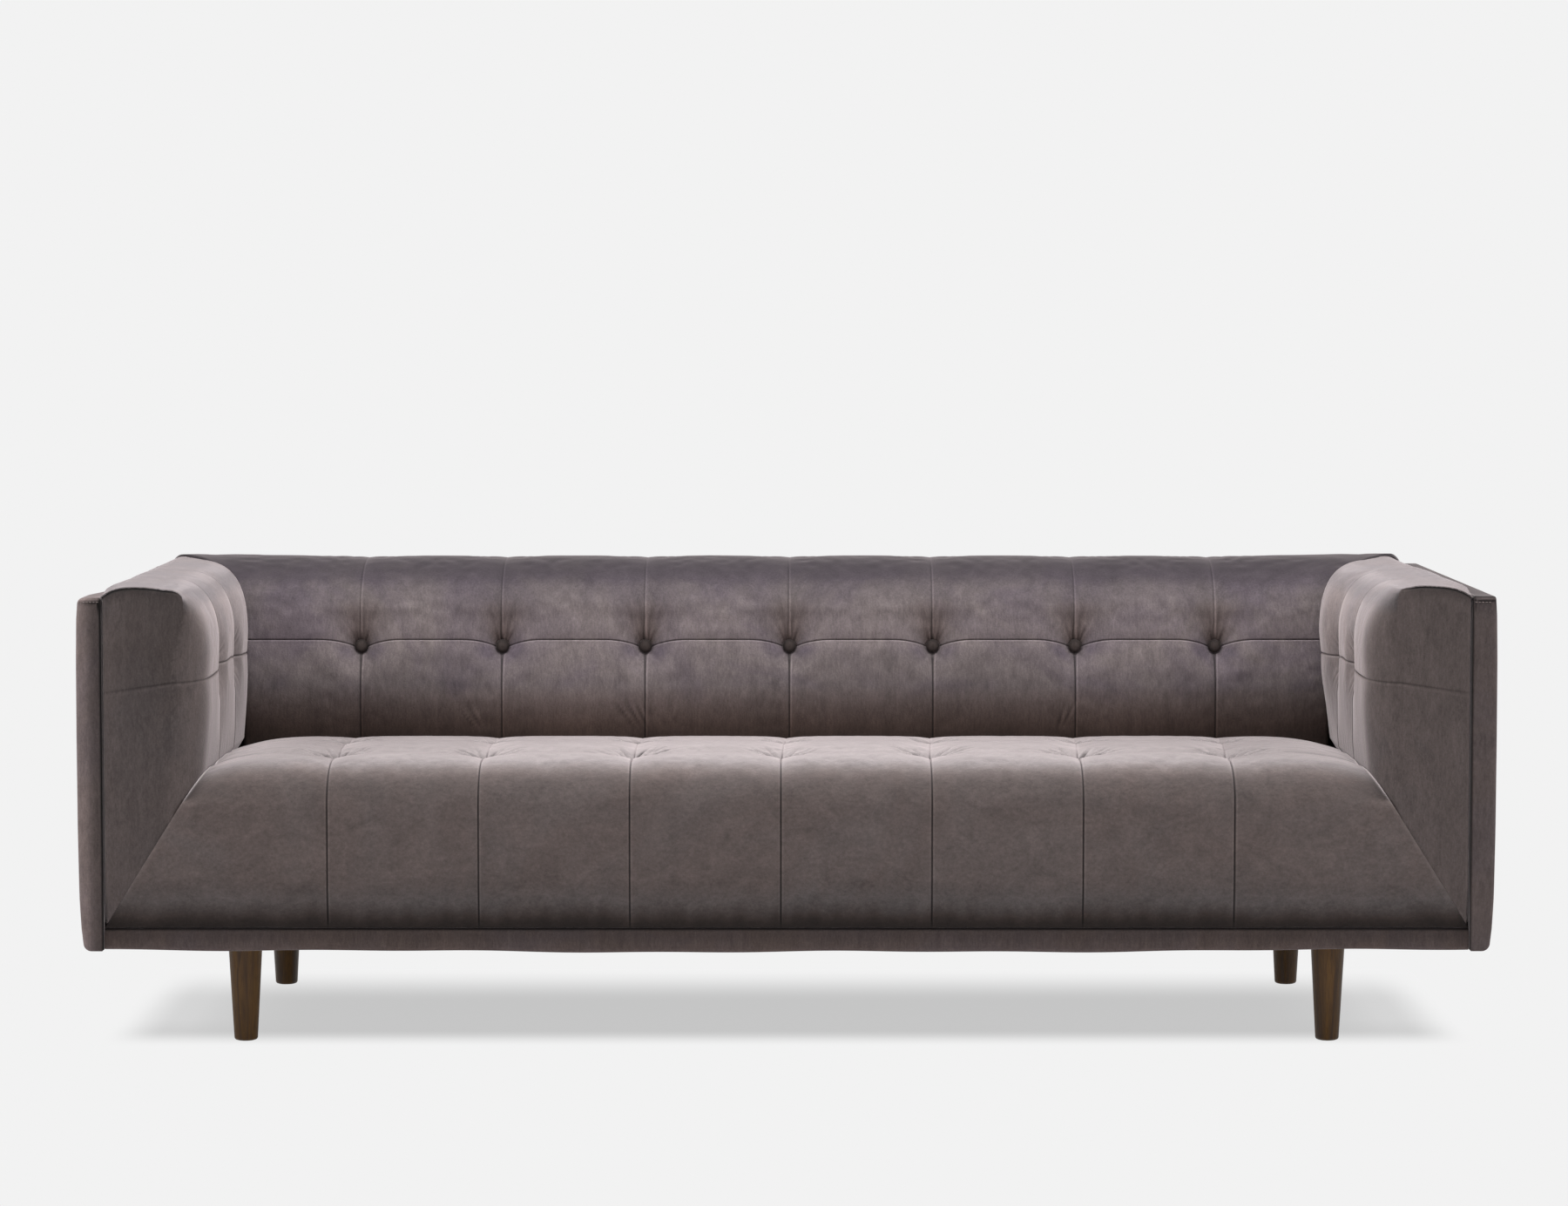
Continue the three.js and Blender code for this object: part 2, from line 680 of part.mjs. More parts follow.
// What the mitre at a rear corner takes away: from the back pad (keep 1) or an arm pad (keep -1).
function cornerCut(side, keep) {
  const [dx, dd] = [armPad.thickness, backPad.thickness];
  const length = Math.hypot(dx, dd);
  const shift = (keep * gap) / 2 / length;
  const near = [armInnerX - 2 * dx - dd * shift, seatDepth - 2 * dd + dx * shift];
  const far = [armInnerX + 2 * dx - dd * shift, seatDepth + 2 * dd + dx * shift];
  const beyond = keep > 0 ? [far[0] + 2 * dx, near[1]] : [near[0], far[1]];
  const corners = [near, far, beyond].map(([x, d]) => [side * x, d]);
  return closedFrom(uprightPrism(corners, 0, panelTop + overrun));
}

// Arm pad: its front closes flush with the outer panel, rounded towards the sitter.
function armPadRing(side, d, inset) {
  const rows = pressRows(padRows(armPad, armSeam, 0), (z) =>
    tuftedDepth(d, z, armTuftDs, [armSeam], upright),
  );
  const span = armPad.thickness - armPad.crestInset;
  const section = rows.map(({ t, z }, i) => {
    const share = THREE.MathUtils.clamp((t - armPad.crestInset) / span, 0, 1);
    const drop = i === rows.length - 1 ? (inset * share) / mitreSlope : 0;
    return { t: t - inset * share, z: z - drop };
  });
  section.push({ t: gap, z: bandTop + mitreGap });
  section[section.length - 2].z += mitreGap;
  return section.map(({ t, z }) => new THREE.Vector3(side * (panelInnerX - t), yAt(d), z));
}

function armPadGeometry(side) {
  const round = armFrontRound;
  const front = armRoundShares.map((share) => {
    const d = frontFaceCrown + round * share;
    const inset = round * (1 - Math.sqrt(1 - (1 - share) ** 2));
    return armPadRing(side, d, inset);
  });
  const centreX = side * (panelInnerX - armPad.crestInset);
  const centre = new THREE.Vector3(centreX, yAt(frontFaceInset), armSeam);
  const face = front[0].map((p) => {
    const inner = p.clone().lerp(centre, 1 - faceRingShare);
    return inner.setY(yAt(frontFaceInset));
  });
  const stations = [...tuftStations(armTuftDs), seatDepth, backInnerD - gap];
  const rings = [face, ...front, ...stations.map((d) => armPadRing(side, d, 0))];
  const rearCentre = centre.clone().setY(yAt(backInnerD - gap));
  const whole = loft(rings, centre, rearCentre);
  const cutters = [frameRecess(side), deckRecess(side), cornerCut(side, -1)];
  const pockets = armTuftDs.map((d) => {
    const pocket = buttonPocket().rotateY((-side * Math.PI) / 2);
    return pocket.translate(side * armButtonX, yAt(d), armSeam);
  });
  return cut(whole, [...cutters, ...pockets]);
}

// Room in an arm pad for the arm's frame, and under it for the base frame and its felt.
function frameRecess(side) {
  const [width, depth] = [postThickness + overrun, sofaDepth - frontRailBackD + gap];
  const [x, d, top] = [armFrameX - gap + overrun / 2, sofaDepth - depth / 2, frameTop + gap];
  return box(width, depth, top, side * x, d, top / 2);
}

function deckRecess(side) {
  const [depth, top] = [sofaDepth - frontFoam, springEndZ + padOffset];
  return box(sofaWidth / 2, depth, top, side * panelInnerX, sofaDepth - depth / 2, top / 2);
}

// A button's back lies at the bottom of its tuft.
const buttonSink = seamDepth + tuftDepth;
const backButtonD = backInnerD - faceThickness(backPad, backSeam) + buttonSink;
const armButtonX = panelInnerX - faceThickness(armPad, armSeam) + buttonSink;

addPiece("back_pad", backPadGeometry(), "velvet");
addPiece("arm_pad_left", armPadGeometry(-1), "velvet");
addPiece("arm_pad_right", armPadGeometry(1), "velvet");

tuftXs.forEach((x, i) => {
  const piece = addPiece(`back_button_${i + 1}`, button(), "velvet");
  piece.rotation.x = Math.PI / 2;
  piece.position.set(x, yAt(backButtonD - gap), backSeam);
});
for (const [name, side] of [
  ["left", -1],
  ["right", 1],
]) {
  armTuftDs.forEach((d, i) => {
    const piece = addPiece(`arm_button_${name}_${i + 1}`, button(), "velvet");
    piece.rotation.y = (-side * Math.PI) / 2;
    piece.position.set(side * (armButtonX - gap), yAt(d), armSeam);
  });
}

// Seat pad: the top, a rounded front that runs down to the band, and mitred sides.
function seatRows(x, sideShare) {
  const drop = seatSideDrop * sideShare ** 3;
  const fall = (d) => seatRearDrop * Math.max(0, (2 * d) / seatDepth - 1) ** 2;
  const press = (d) => fall(d) + tuftedDepth(x, d, tuftXs, seatTuftDs, seat);
  const tuftDs = [...seatTuftDs].reverse().flatMap((row) => [row + tuftCore, row, row - tuftCore]);
  const rearD = seatDepth - gap;
  const [rearBow, middle] = [(rearD + seatTuftDs[1]) / 2, (seatTuftDs[0] + seatTuftDs[1]) / 2];
  const topDs = [rearBow, ...tuftDs.slice(0, 3), middle, ...tuftDs.slice(3)];
  const top = topDs.map((d) => ({ d, z: seatCrown - drop - press(d) }));
  const roundZ = seatCrown - seatFrontRoundDrop;
  const round = frontRoundAngleShares.map((share) => {
    const angle = (Math.PI / 2) * share;
    const d = frontFaceInset + seatFrontRoundDepth * (1 - Math.sin(angle));
    const z = roundZ + seatFrontRoundDrop * Math.cos(angle) - drop * Math.cos(angle);
    const dent = crease(nearest(x, tuftXs), seatSeamDepth, seamReach);
    return { d: d + dent * Math.sin(angle), z: z - dent * Math.cos(angle) };
  });
  const dent = crease(nearest(x, tuftXs), seatSeamDepth, seamReach);
  const faceHeight = roundZ - bandTop;
  const face = frontFaceHeightShares.map((share, i) => ({
    d: frontFaceInset + dent + (seatFaceBottomInset - frontFaceInset) * frontFaceInsetShares[i],
    z: bandTop + faceHeight * share,
  }));
  const bottom = [
    { d: seatFaceBottomInset, z: bandTop },
    { d: frontFoam, z: bandTop },
  ];
  const under = [frontFoam, ...deckDs.slice(1, -2), rearD].map((d) => ({ d, z: deckAt(d) + padOffset }));
  return [{ d: rearD, z: seatCrown - drop - fall(rearD) }, ...top, ...round, ...face, ...bottom, ...under];
}

const nearest = (x, places) => Math.min(...places.map((place) => Math.abs(x - place)));

function seatPadGeometry() {
  const lastTuft = tuftXs[tuftCount - 1] + seamReach;
  const stations = [
    ...[...endStationShares].reverse().map((share) => [-1, share]),
    ...tuftStations(tuftXs),
    ...endStationShares.map((share) => [1, share]),
  ];
  const rings = stations.map((station) => {
    if (typeof station === "number") {
      return seatRows(station, 0).map(({ d, z }) => new THREE.Vector3(station, yAt(d), z));
    }
    const [side, share] = station;
    const x = side * (lastTuft + (armInnerX - lastTuft) * share);
    return seatRows(x, share).map(({ d, z }) => {
      const reach = lastTuft + (mitreX(z) - gap - lastTuft) * share;
      return new THREE.Vector3(side * reach, yAt(d), z);
    });
  });
  const capZ = (seatCrown + deckAt(frontFoam) + padOffset) / 2;
  const cap = (side) => new THREE.Vector3(side * (mitreX(capZ) - gap), yAt(frontFoam / 2), capZ);
  return loft(rings, cap(-1), cap(1));
}

addPiece("seat_pad", seatPadGeometry(), "velvet");

export default sofa;
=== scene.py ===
import math

import bmesh
import bpy
import numpy as np
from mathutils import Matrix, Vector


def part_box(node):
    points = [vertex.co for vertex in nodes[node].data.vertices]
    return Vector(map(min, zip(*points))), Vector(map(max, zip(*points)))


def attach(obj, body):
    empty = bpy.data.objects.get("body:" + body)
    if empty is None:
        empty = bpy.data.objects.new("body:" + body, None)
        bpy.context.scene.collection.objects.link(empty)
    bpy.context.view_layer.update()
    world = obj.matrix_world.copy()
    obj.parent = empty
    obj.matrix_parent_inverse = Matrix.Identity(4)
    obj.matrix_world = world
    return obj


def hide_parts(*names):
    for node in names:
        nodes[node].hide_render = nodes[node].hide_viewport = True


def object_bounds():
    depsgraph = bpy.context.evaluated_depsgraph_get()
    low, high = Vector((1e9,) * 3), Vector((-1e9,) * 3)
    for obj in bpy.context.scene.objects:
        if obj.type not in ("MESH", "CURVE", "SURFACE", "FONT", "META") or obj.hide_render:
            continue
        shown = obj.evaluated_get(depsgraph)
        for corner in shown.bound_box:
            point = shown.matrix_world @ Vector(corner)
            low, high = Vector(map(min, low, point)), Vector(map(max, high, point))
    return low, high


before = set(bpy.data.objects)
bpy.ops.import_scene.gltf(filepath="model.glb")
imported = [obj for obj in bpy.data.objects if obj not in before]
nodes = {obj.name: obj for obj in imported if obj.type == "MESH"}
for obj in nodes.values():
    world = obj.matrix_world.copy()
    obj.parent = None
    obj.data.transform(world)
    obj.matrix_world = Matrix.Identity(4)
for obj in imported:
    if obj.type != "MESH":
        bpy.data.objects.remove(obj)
cad_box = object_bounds()
scene = bpy.context.scene


# Camera: solved from the four legs, the ends of the outer panels and the rows of buttons.
# It stands 7 m in front of the sofa at 1.18 m, and looks down a little.
camera_data = bpy.data.cameras.new("photo_camera")
camera_data.sensor_width = 36
camera_data.lens = 103.572
camera = bpy.data.objects.new("photo_camera", camera_data)
camera.location = (-0.0099, -7.44, 1.183)
camera.rotation_euler = (math.radians(90 - 3.873), 0, -0.0008)
scene.collection.objects.link(camera)
scene.camera = camera
scene.view_settings.view_transform = "Standard"


# Studio: a pale floor that fades into an equally pale room, so that no horizon shows, and a soft
# shadow under the sofa. The lamps are a large softbox overhead and a weaker one in front, with
# one on each side, which bring out the insides of the arms.
ROOM_WHITE = (0.888, 0.888, 0.888, 1)
FLOOR_HALF = 30


def fill(tree, node, inputs):
    """Sets a node's inputs, each to a plain value or to another node's output."""
    for label, value in inputs.items():
        if isinstance(value, bpy.types.NodeSocket):
            tree.links.new(value, node.inputs[label])
        else:
            node.inputs[label].default_value = value
    return node


def add(tree, kind, inputs=None, **settings):
    node = tree.nodes.new(kind)
    for label, value in settings.items():
        setattr(node, label, value)
    return fill(tree, node, inputs or {})


def calc(tree, operation, *values, clamp=False):
    """Output of one sum, whose values are numbers or other nodes' outputs."""
    return add(tree, "ShaderNodeMath", dict(enumerate(values)), operation=operation, use_clamp=clamp).outputs[0]


def ramp(tree, value, start, end, low=0, high=1, kind="LINEAR"):
    """Output that goes from low to high while the value goes from start to end."""
    inputs = {"Value": value, "From Min": start, "From Max": end, "To Min": low, "To Max": high}
    return add(tree, "ShaderNodeMapRange", inputs, interpolation_type=kind).outputs["Result"]


def mixed(tree, share, first, second):
    return add(tree, "ShaderNodeMix", {0: share, 6: first, 7: second}, data_type="RGBA").outputs[2]


def object_place(tree):
    return add(tree, "ShaderNodeTexCoord").outputs["Object"]


def new_material(name):
    material = bpy.data.materials.new(name)
    material.use_nodes = True
    material.node_tree.nodes.clear()
    return material, material.node_tree


def new_piece(name, mesh):
    piece = bpy.data.objects.new(name, mesh)
    scene.collection.objects.link(piece)
    return piece


def floor_material():
    material, tree = new_material("studio_floor")
    axes = add(tree, "ShaderNodeSeparateXYZ", {"Vector": object_place(tree)}).outputs

    def edge(source, clear, shaded):
        """1 on the shaded side and 0 where the floor is clear, with a soft change between."""
        return ramp(tree, source, clear, shaded, kind="SMOOTHSTEP")

    sides = edge(calc(tree, "ABSOLUTE", axes["X"]), 1.1, 1.0)
    shaded = calc(tree, "MULTIPLY", sides, edge(axes["Y"], -0.365, -0.2))
    shaded = calc(tree, "MULTIPLY", shaded, edge(axes["Y"], 0.47, 0.1))
    # Painted shadow: the floor's own colour is darker under the front of the sofa, deepening the real shadow there.
    under = calc(tree, "MULTIPLY", edge(axes["Y"], -0.06, -0.25), edge(axes["Y"], -0.44, -0.4))
    floor_tone_with_painted_shadow = mixed(tree, under, (0.72, 0.72, 0.725, 1), (0.4, 0.4, 0.403, 1))
    seen = add(tree, "ShaderNodeLightPath").outputs
    rays = calc(tree, "MAXIMUM", seen["Is Camera Ray"], seen["Is Glossy Ray"])
    gate = calc(tree, "MULTIPLY", ramp(tree, shaded, 0, 1, 1, 0.62), rays)
    lit = add(tree, "ShaderNodeBsdfDiffuse", {"Color": floor_tone_with_painted_shadow})
    glow = add(tree, "ShaderNodeEmission", {"Color": ROOM_WHITE})
    mix = add(tree, "ShaderNodeMixShader", {"Fac": gate, 1: lit.outputs["BSDF"], 2: glow.outputs["Emission"]})
    add(tree, "ShaderNodeOutputMaterial", {"Surface": mix.outputs["Shader"]})
    return material


def floor():
    mesh = bpy.data.meshes.new("studio_floor")
    corners = [(x * FLOOR_HALF, y * FLOOR_HALF, 0) for x, y in ((-1, -1), (1, -1), (1, 1), (-1, 1))]
    mesh.from_pydata(corners, [], [(0, 1, 2, 3)])
    mesh.materials.append(floor_material())
    new_piece("studio_floor", mesh)


def room():
    world = bpy.data.worlds.new("studio_room")
    scene.world = world
    world.use_nodes = True
    tree = world.node_tree
    tree.nodes.clear()
    seen = add(tree, "ShaderNodeLightPath").outputs
    rays = calc(tree, "MAXIMUM", seen["Is Camera Ray"], seen["Is Transmission Ray"])
    lights = add(tree, "ShaderNodeBackground", {"Color": (1, 1, 1, 1), "Strength": 0.34})
    shows = add(tree, "ShaderNodeBackground", {"Color": ROOM_WHITE})
    mix = add(
        tree, "ShaderNodeMixShader", {"Fac": rays, 1: lights.outputs["Background"], 2: shows.outputs["Background"]}
    )
    add(tree, "ShaderNodeOutputWorld", {"Surface": mix.outputs["Shader"]})


def softbox(name, place, aim, width, height, watts):
    lamp = bpy.data.lights.new(name, "AREA")
    lamp.shape = "RECTANGLE"
    lamp.size, lamp.size_y = width, height
    lamp.energy = watts
    holder = new_piece(name, lamp)
    way = np.subtract(aim, place)
    holder.location = place
    holder.rotation_euler = (math.atan2(math.hypot(way[0], way[1]), -way[2]), 0, math.atan2(-way[0], way[1]))


floor()
room()
softbox("overhead_softbox", (0, -0.3, 3.4), (0, 0.05, 0), 4.0, 1.9, 170)
softbox("front_softbox", (0, -5.5, 2.6), (0, 0, 0.4), 3.0, 1.6, 20)
for flank in (-1, 1):
    softbox("side_softbox", (flank * 3.4, -0.9, 2.3), (0, 0, 0.45), 1.6, 1.4, 60)


# Wooden frame: kiln-dried hardwood rails and posts, sawn and left bare, glued and screwed together.
# It is hidden inside the padding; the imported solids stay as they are.
def noise(tree, place, scale, detail=2.0, distortion=0.0, rough=0.5):
    inputs = {"Vector": place, "Scale": scale, "Detail": detail, "Distortion": distortion, "Roughness": rough}
    return add(tree, "ShaderNodeTexNoise", inputs).outputs["Fac"]


def times(tree, first, second):
    return add(tree, "ShaderNodeVectorMath", {0: first, 1: second}, operation="MULTIPLY").outputs["Vector"]


def new_group(name, kind, inputs, outputs):
    """An empty group of nodes with named inputs and outputs."""
    tree = bpy.data.node_groups.new(name, kind)
    for label, socket, value in inputs:
        made = tree.interface.new_socket(label, in_out="INPUT", socket_type="NodeSocket" + socket)
        if value is not None:
            made.default_value = value
    for label, socket in outputs:
        tree.interface.new_socket(label, in_out="OUTPUT", socket_type="NodeSocket" + socket)
    return tree, tree.nodes.new("NodeGroupInput"), tree.nodes.new("NodeGroupOutput")


LOOKS = [("Color", "Color"), ("Roughness", "Float"), ("Height", "Float")]


def wood_grain_group():
    """Long fibres along one axis: colour between an early and a late wood, and a height for bump."""
    tree, given, out = new_group(
        "wood_grain",
        "ShaderNodeTree",
        [
            ("Early Wood", "Color", (0.6, 0.45, 0.28, 1)),
            ("Late Wood", "Color", (0.4, 0.27, 0.15, 1)),
            ("Grain Size", "Vector", (60, 60, 3)),
            ("Pore Strength", "Float", 0.5),
        ],
        LOOKS,
    )
    stretched = times(tree, object_place(tree), given.outputs["Grain Size"])
    bands = ramp(tree, noise(tree, stretched, 1, 3, 1.2), 0.35, 0.65)
    pitted = ramp(tree, noise(tree, stretched, 9, 2, 0.2), 0.36, 0.5)
    colour = mixed(tree, bands, given.outputs["Early Wood"], given.outputs["Late Wood"])
    dark = calc(tree, "MULTIPLY", calc(tree, "SUBTRACT", 1, pitted), given.outputs["Pore Strength"])
    looks = {
        "Color": mixed(tree, dark, colour, given.outputs["Late Wood"]),
        "Roughness": ramp(tree, bands, 0, 1, 0.62, 0.42),
        "Height": calc(tree, "MULTIPLY_ADD", pitted, given.outputs["Pore Strength"], bands),
    }
    fill(tree, out, looks)
    return tree


wood_grain = wood_grain_group()


def raised(tree, height, strength, distance):
    inputs = {"Height": height, "Strength": strength, "Distance": distance}
    return add(tree, "ShaderNodeBump", inputs).outputs["Normal"]


def surfaced(material, tree, inputs):
    shader = add(tree, "ShaderNodeBsdfPrincipled", inputs)
    add(tree, "ShaderNodeOutputMaterial", {"Surface": shader.outputs["BSDF"]})
    return material


def wood(name, early, late, grain_size, pore_strength, relief, coat):
    material, tree = new_material(name)
    inputs = {
        "Early Wood": (*early, 1), "Late Wood": (*late, 1), "Grain Size": grain_size, "Pore Strength": pore_strength
    }
    grain = add(tree, "ShaderNodeGroup", inputs, node_tree=wood_grain)
    looks = {
        "Base Color": grain.outputs["Color"],
        "Roughness": grain.outputs["Roughness"],
        "Normal": raised(tree, grain.outputs["Height"], relief, 0.0006),
        "Specular IOR Level": 0.3,
        "Coat Weight": coat,
        "Coat Roughness": 0.3,
    }
    return surfaced(material, tree, looks)


def refinish(names, material):
    for name in names:
        slots = nodes[name].data.materials
        slots.clear()
        slots.append(material)


SAWN_EARLY, SAWN_LATE = (0.62, 0.46, 0.28), (0.45, 0.31, 0.17)
for direction, grain_size, members in (
    ("upright", (60, 60, 3), [name for name in nodes if "post" in name]),
    ("crosswise", (3, 60, 60), ["base_front_rail", "base_rear_rail", "back_top_rail"]),
    (
        "lengthwise",
        (60, 3, 60),
        [name for name in nodes if "_rail_" in name or "stretcher" in name or name.startswith("leg_block")],
    ),
):
    refinish(members, wood("sawn_hardwood_" + direction, SAWN_EARLY, SAWN_LATE, grain_size, 0.35, 0.5, 0))


# Seat springs: sinuous wire in ten rows, hard drawn and lightly oiled, held in the rails' clips.
# The hanger bolts that hold the legs are zinc-plated.
def steel(name, colour, roughness, scale):
    material, tree = new_material(name)
    tarnish = noise(tree, object_place(tree), scale, 3)
    looks = {
        "Base Color": mixed(tree, tarnish, (*[c * 0.7 for c in colour], 1), (*colour, 1)),
        "Roughness": ramp(tree, tarnish, 0, 1, roughness - 0.1, roughness + 0.15),
        "Metallic": 0.95,
    }
    return surfaced(material, tree, looks)


refinish([name for name in nodes if name.startswith("seat_spring")], steel("drawn_wire", (0.42, 0.42, 0.43), 0.4, 40))
refinish([name for name in nodes if name.startswith("hanger_bolt")], steel("zinc_plate", (0.68, 0.7, 0.72), 0.35, 90))


# Felt over the springs: needled from mixed fibres, grey with flecks, laid loose on the wire.
# The dust cover under the frame is thin black non-woven cloth, stapled along its edges.
def fibre_cloth(name, ground, fleck, fleck_scale, relief):
    material, tree = new_material(name)
    fibres = noise(tree, object_place(tree), fleck_scale, 4, 1.5, 0.7)
    looks = {
        "Base Color": mixed(tree, ramp(tree, fibres, 0.48, 0.68), (*ground, 1), (*fleck, 1)),
        "Normal": raised(tree, fibres, relief, 0.001),
        "Roughness": 0.95,
        "Specular IOR Level": 0.2,
    }
    return surfaced(material, tree, looks)


refinish(["spring_felt"], fibre_cloth("needled_felt", (0.2, 0.19, 0.17), (0.5, 0.46, 0.4), 220, 0.8))
refinish(["dust_cover"], fibre_cloth("dust_cloth", (0.012, 0.012, 0.013), (0.05, 0.05, 0.052), 500, 0.4))


# Legs: turned from ash, tapered towards the floor, stained dark brown and sealed with a satin
# lacquer. Each screws on to its hanger bolt.
LEG_TOP_RADIUS = 0.0275
LEG_FOOT_RADIUS = 0.0185
LEG_FOOT_ROUND = 0.0045


def geometry_tree(name, inputs):
    places, finish = ("Places", "Object", None), ("Finish", "Material", None)
    return new_group(name, "GeometryNodeTree", [places, *inputs, finish], [("Geometry", "Geometry")])


def copied_to_places(tree, given, out, shape, size=None, axis=None):
    """Ends a tree: a copy of the shape at each place, with one axis along the way that is marked there."""
    places = add(tree, "GeometryNodeObjectInfo", {"Object": given.outputs["Places"]})
    inputs = {"Points": places.outputs["Geometry"], "Instance": shape}
    if axis:
        way = add(tree, "GeometryNodeInputNamedAttribute", {"Name": "way"}, data_type="FLOAT_VECTOR")
        turn = add(tree, "FunctionNodeAlignRotationToVector", {"Vector": way.outputs["Attribute"]}, axis=axis)
        inputs.update({"Rotation": turn.outputs["Rotation"], "Scale": size})
    copies = add(tree, "GeometryNodeInstanceOnPoints", inputs)
    real = add(tree, "GeometryNodeRealizeInstances", {"Geometry": copies.outputs["Instances"]})
    inputs = {"Geometry": real.outputs["Geometry"], "Material": given.outputs["Finish"]}
    finished = add(tree, "GeometryNodeSetMaterial", inputs)
    fill(tree, out, {"Geometry": finished.outputs["Geometry"]})
    return tree


def markers(name, points, normals=None):
    """Bare points, with a direction each, for a tree to put its copies on."""
    mesh = bpy.data.meshes.new(name)
    mesh.from_pydata([tuple(p) for p in points], [], [])
    if normals is not None:
        way = mesh.attributes.new("way", "FLOAT_VECTOR", "POINT")
        way.data.foreach_set("vector", np.asarray(normals, dtype=np.float32).ravel())
    return new_piece(name, mesh)


def grown(name, tree, places, values):
    """The mesh that a tree makes at these places with these values, as an object of its own."""
    host = new_piece(name + "_tree", bpy.data.meshes.new(name + "_tree"))
    modifier = host.modifiers.new("tree", "NODES")
    modifier.node_group = tree
    values = {"Places": places, **values}
    for item in tree.interface.items_tree:
        if item.in_out == "INPUT" and item.name in values:
            modifier[item.identifier] = values[item.name]
    made = host.evaluated_get(bpy.context.evaluated_depsgraph_get())
    mesh = bpy.data.meshes.new_from_object(made)
    mesh.name = name
    for helper in (host, places):
        bpy.data.objects.remove(helper)
    return new_piece(name, mesh)


def turned_leg_tree():
    """A tapered round spindle with an eased foot."""
    tree, given, out = geometry_tree(
        "turned_legs",
        [
            ("Height", "Float", 0.16),
            ("Top Radius", "Float", 0.03),
            ("Foot Radius", "Float", 0.02),
            ("Foot Round", "Float", 0.004),
        ],
    )
    top = add(tree, "ShaderNodeCombineXYZ", {"Z": given.outputs["Height"]})
    axis = add(tree, "GeometryNodeCurvePrimitiveLine", {"End": top.outputs["Vector"]})
    rings = add(tree, "GeometryNodeResampleCurve", {"Curve": axis.outputs["Curve"], "Count": 150})
    along = add(tree, "GeometryNodeSplineParameter").outputs
    taper = ramp(tree, along["Factor"], 0, 1, given.outputs["Foot Radius"], given.outputs["Top Radius"])
    # The foot's edge is a quarter circle: the radius falls short by r - sqrt(r^2 - (r - z)^2).
    eased = given.outputs["Foot Round"]
    below = calc(tree, "MAXIMUM", calc(tree, "SUBTRACT", eased, along["Length"]), 0)
    squares = [calc(tree, "MULTIPLY", length, length) for length in (eased, below)]
    root = calc(tree, "SQRT", calc(tree, "SUBTRACT", *squares))
    radius = calc(tree, "SUBTRACT", taper, calc(tree, "SUBTRACT", eased, root))
    section = add(tree, "GeometryNodeCurvePrimitiveCircle", {"Resolution": 40, "Radius": 1})
    inputs = {"Curve": rings.outputs["Curve"], "Profile Curve": section.outputs["Curve"], "Scale": radius}
    turned = add(tree, "GeometryNodeCurveToMesh", {**inputs, "Fill Caps": True})
    return copied_to_places(tree, given, out, turned.outputs["Mesh"])


def smooth(piece, angle=None):
    piece.data.shade_smooth()
    if angle is not None:
        piece.data.set_sharp_from_angle(angle=math.radians(angle))


def legs():
    stained_ash = wood("stained_ash", (0.15, 0.073, 0.018), (0.055, 0.024, 0.006), (75, 75, 3.5), 0.5, 0.6, 0.05)
    tree = turned_leg_tree()
    for name in ("leg_front_left", "leg_front_right", "leg_rear_left", "leg_rear_right"):
        low, high = np.array(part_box(name))
        values = {
            "Height": high[2] - low[2],
            "Top Radius": LEG_TOP_RADIUS,
            "Foot Radius": LEG_FOOT_RADIUS,
            "Foot Round": LEG_FOOT_ROUND,
            "Finish": stained_ash,
        }
        foot = (*(low[:2] + high[:2]) / 2, low[2])
        piece = grown("turned_" + name, tree, markers(name + "_place", [foot]), values)
        smooth(piece, 50)
        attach(piece, "root")
        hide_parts(name)


legs()


# Outer side panels: boards padded with thin wadding and covered in velvet, which is drawn tight, so
# that the face swells between its edges. The cover is sewn along the top of the front edge.
SOFA_FRONT = cad_box[0][1]
SHELL_DEPTH = cad_box[1][1] - cad_box[0][1]
(SHELL_INNER_X, _, SHELL_LOW), (SHELL_OUTER_X, _, SHELL_TOP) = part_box("outer_side_panel_right")


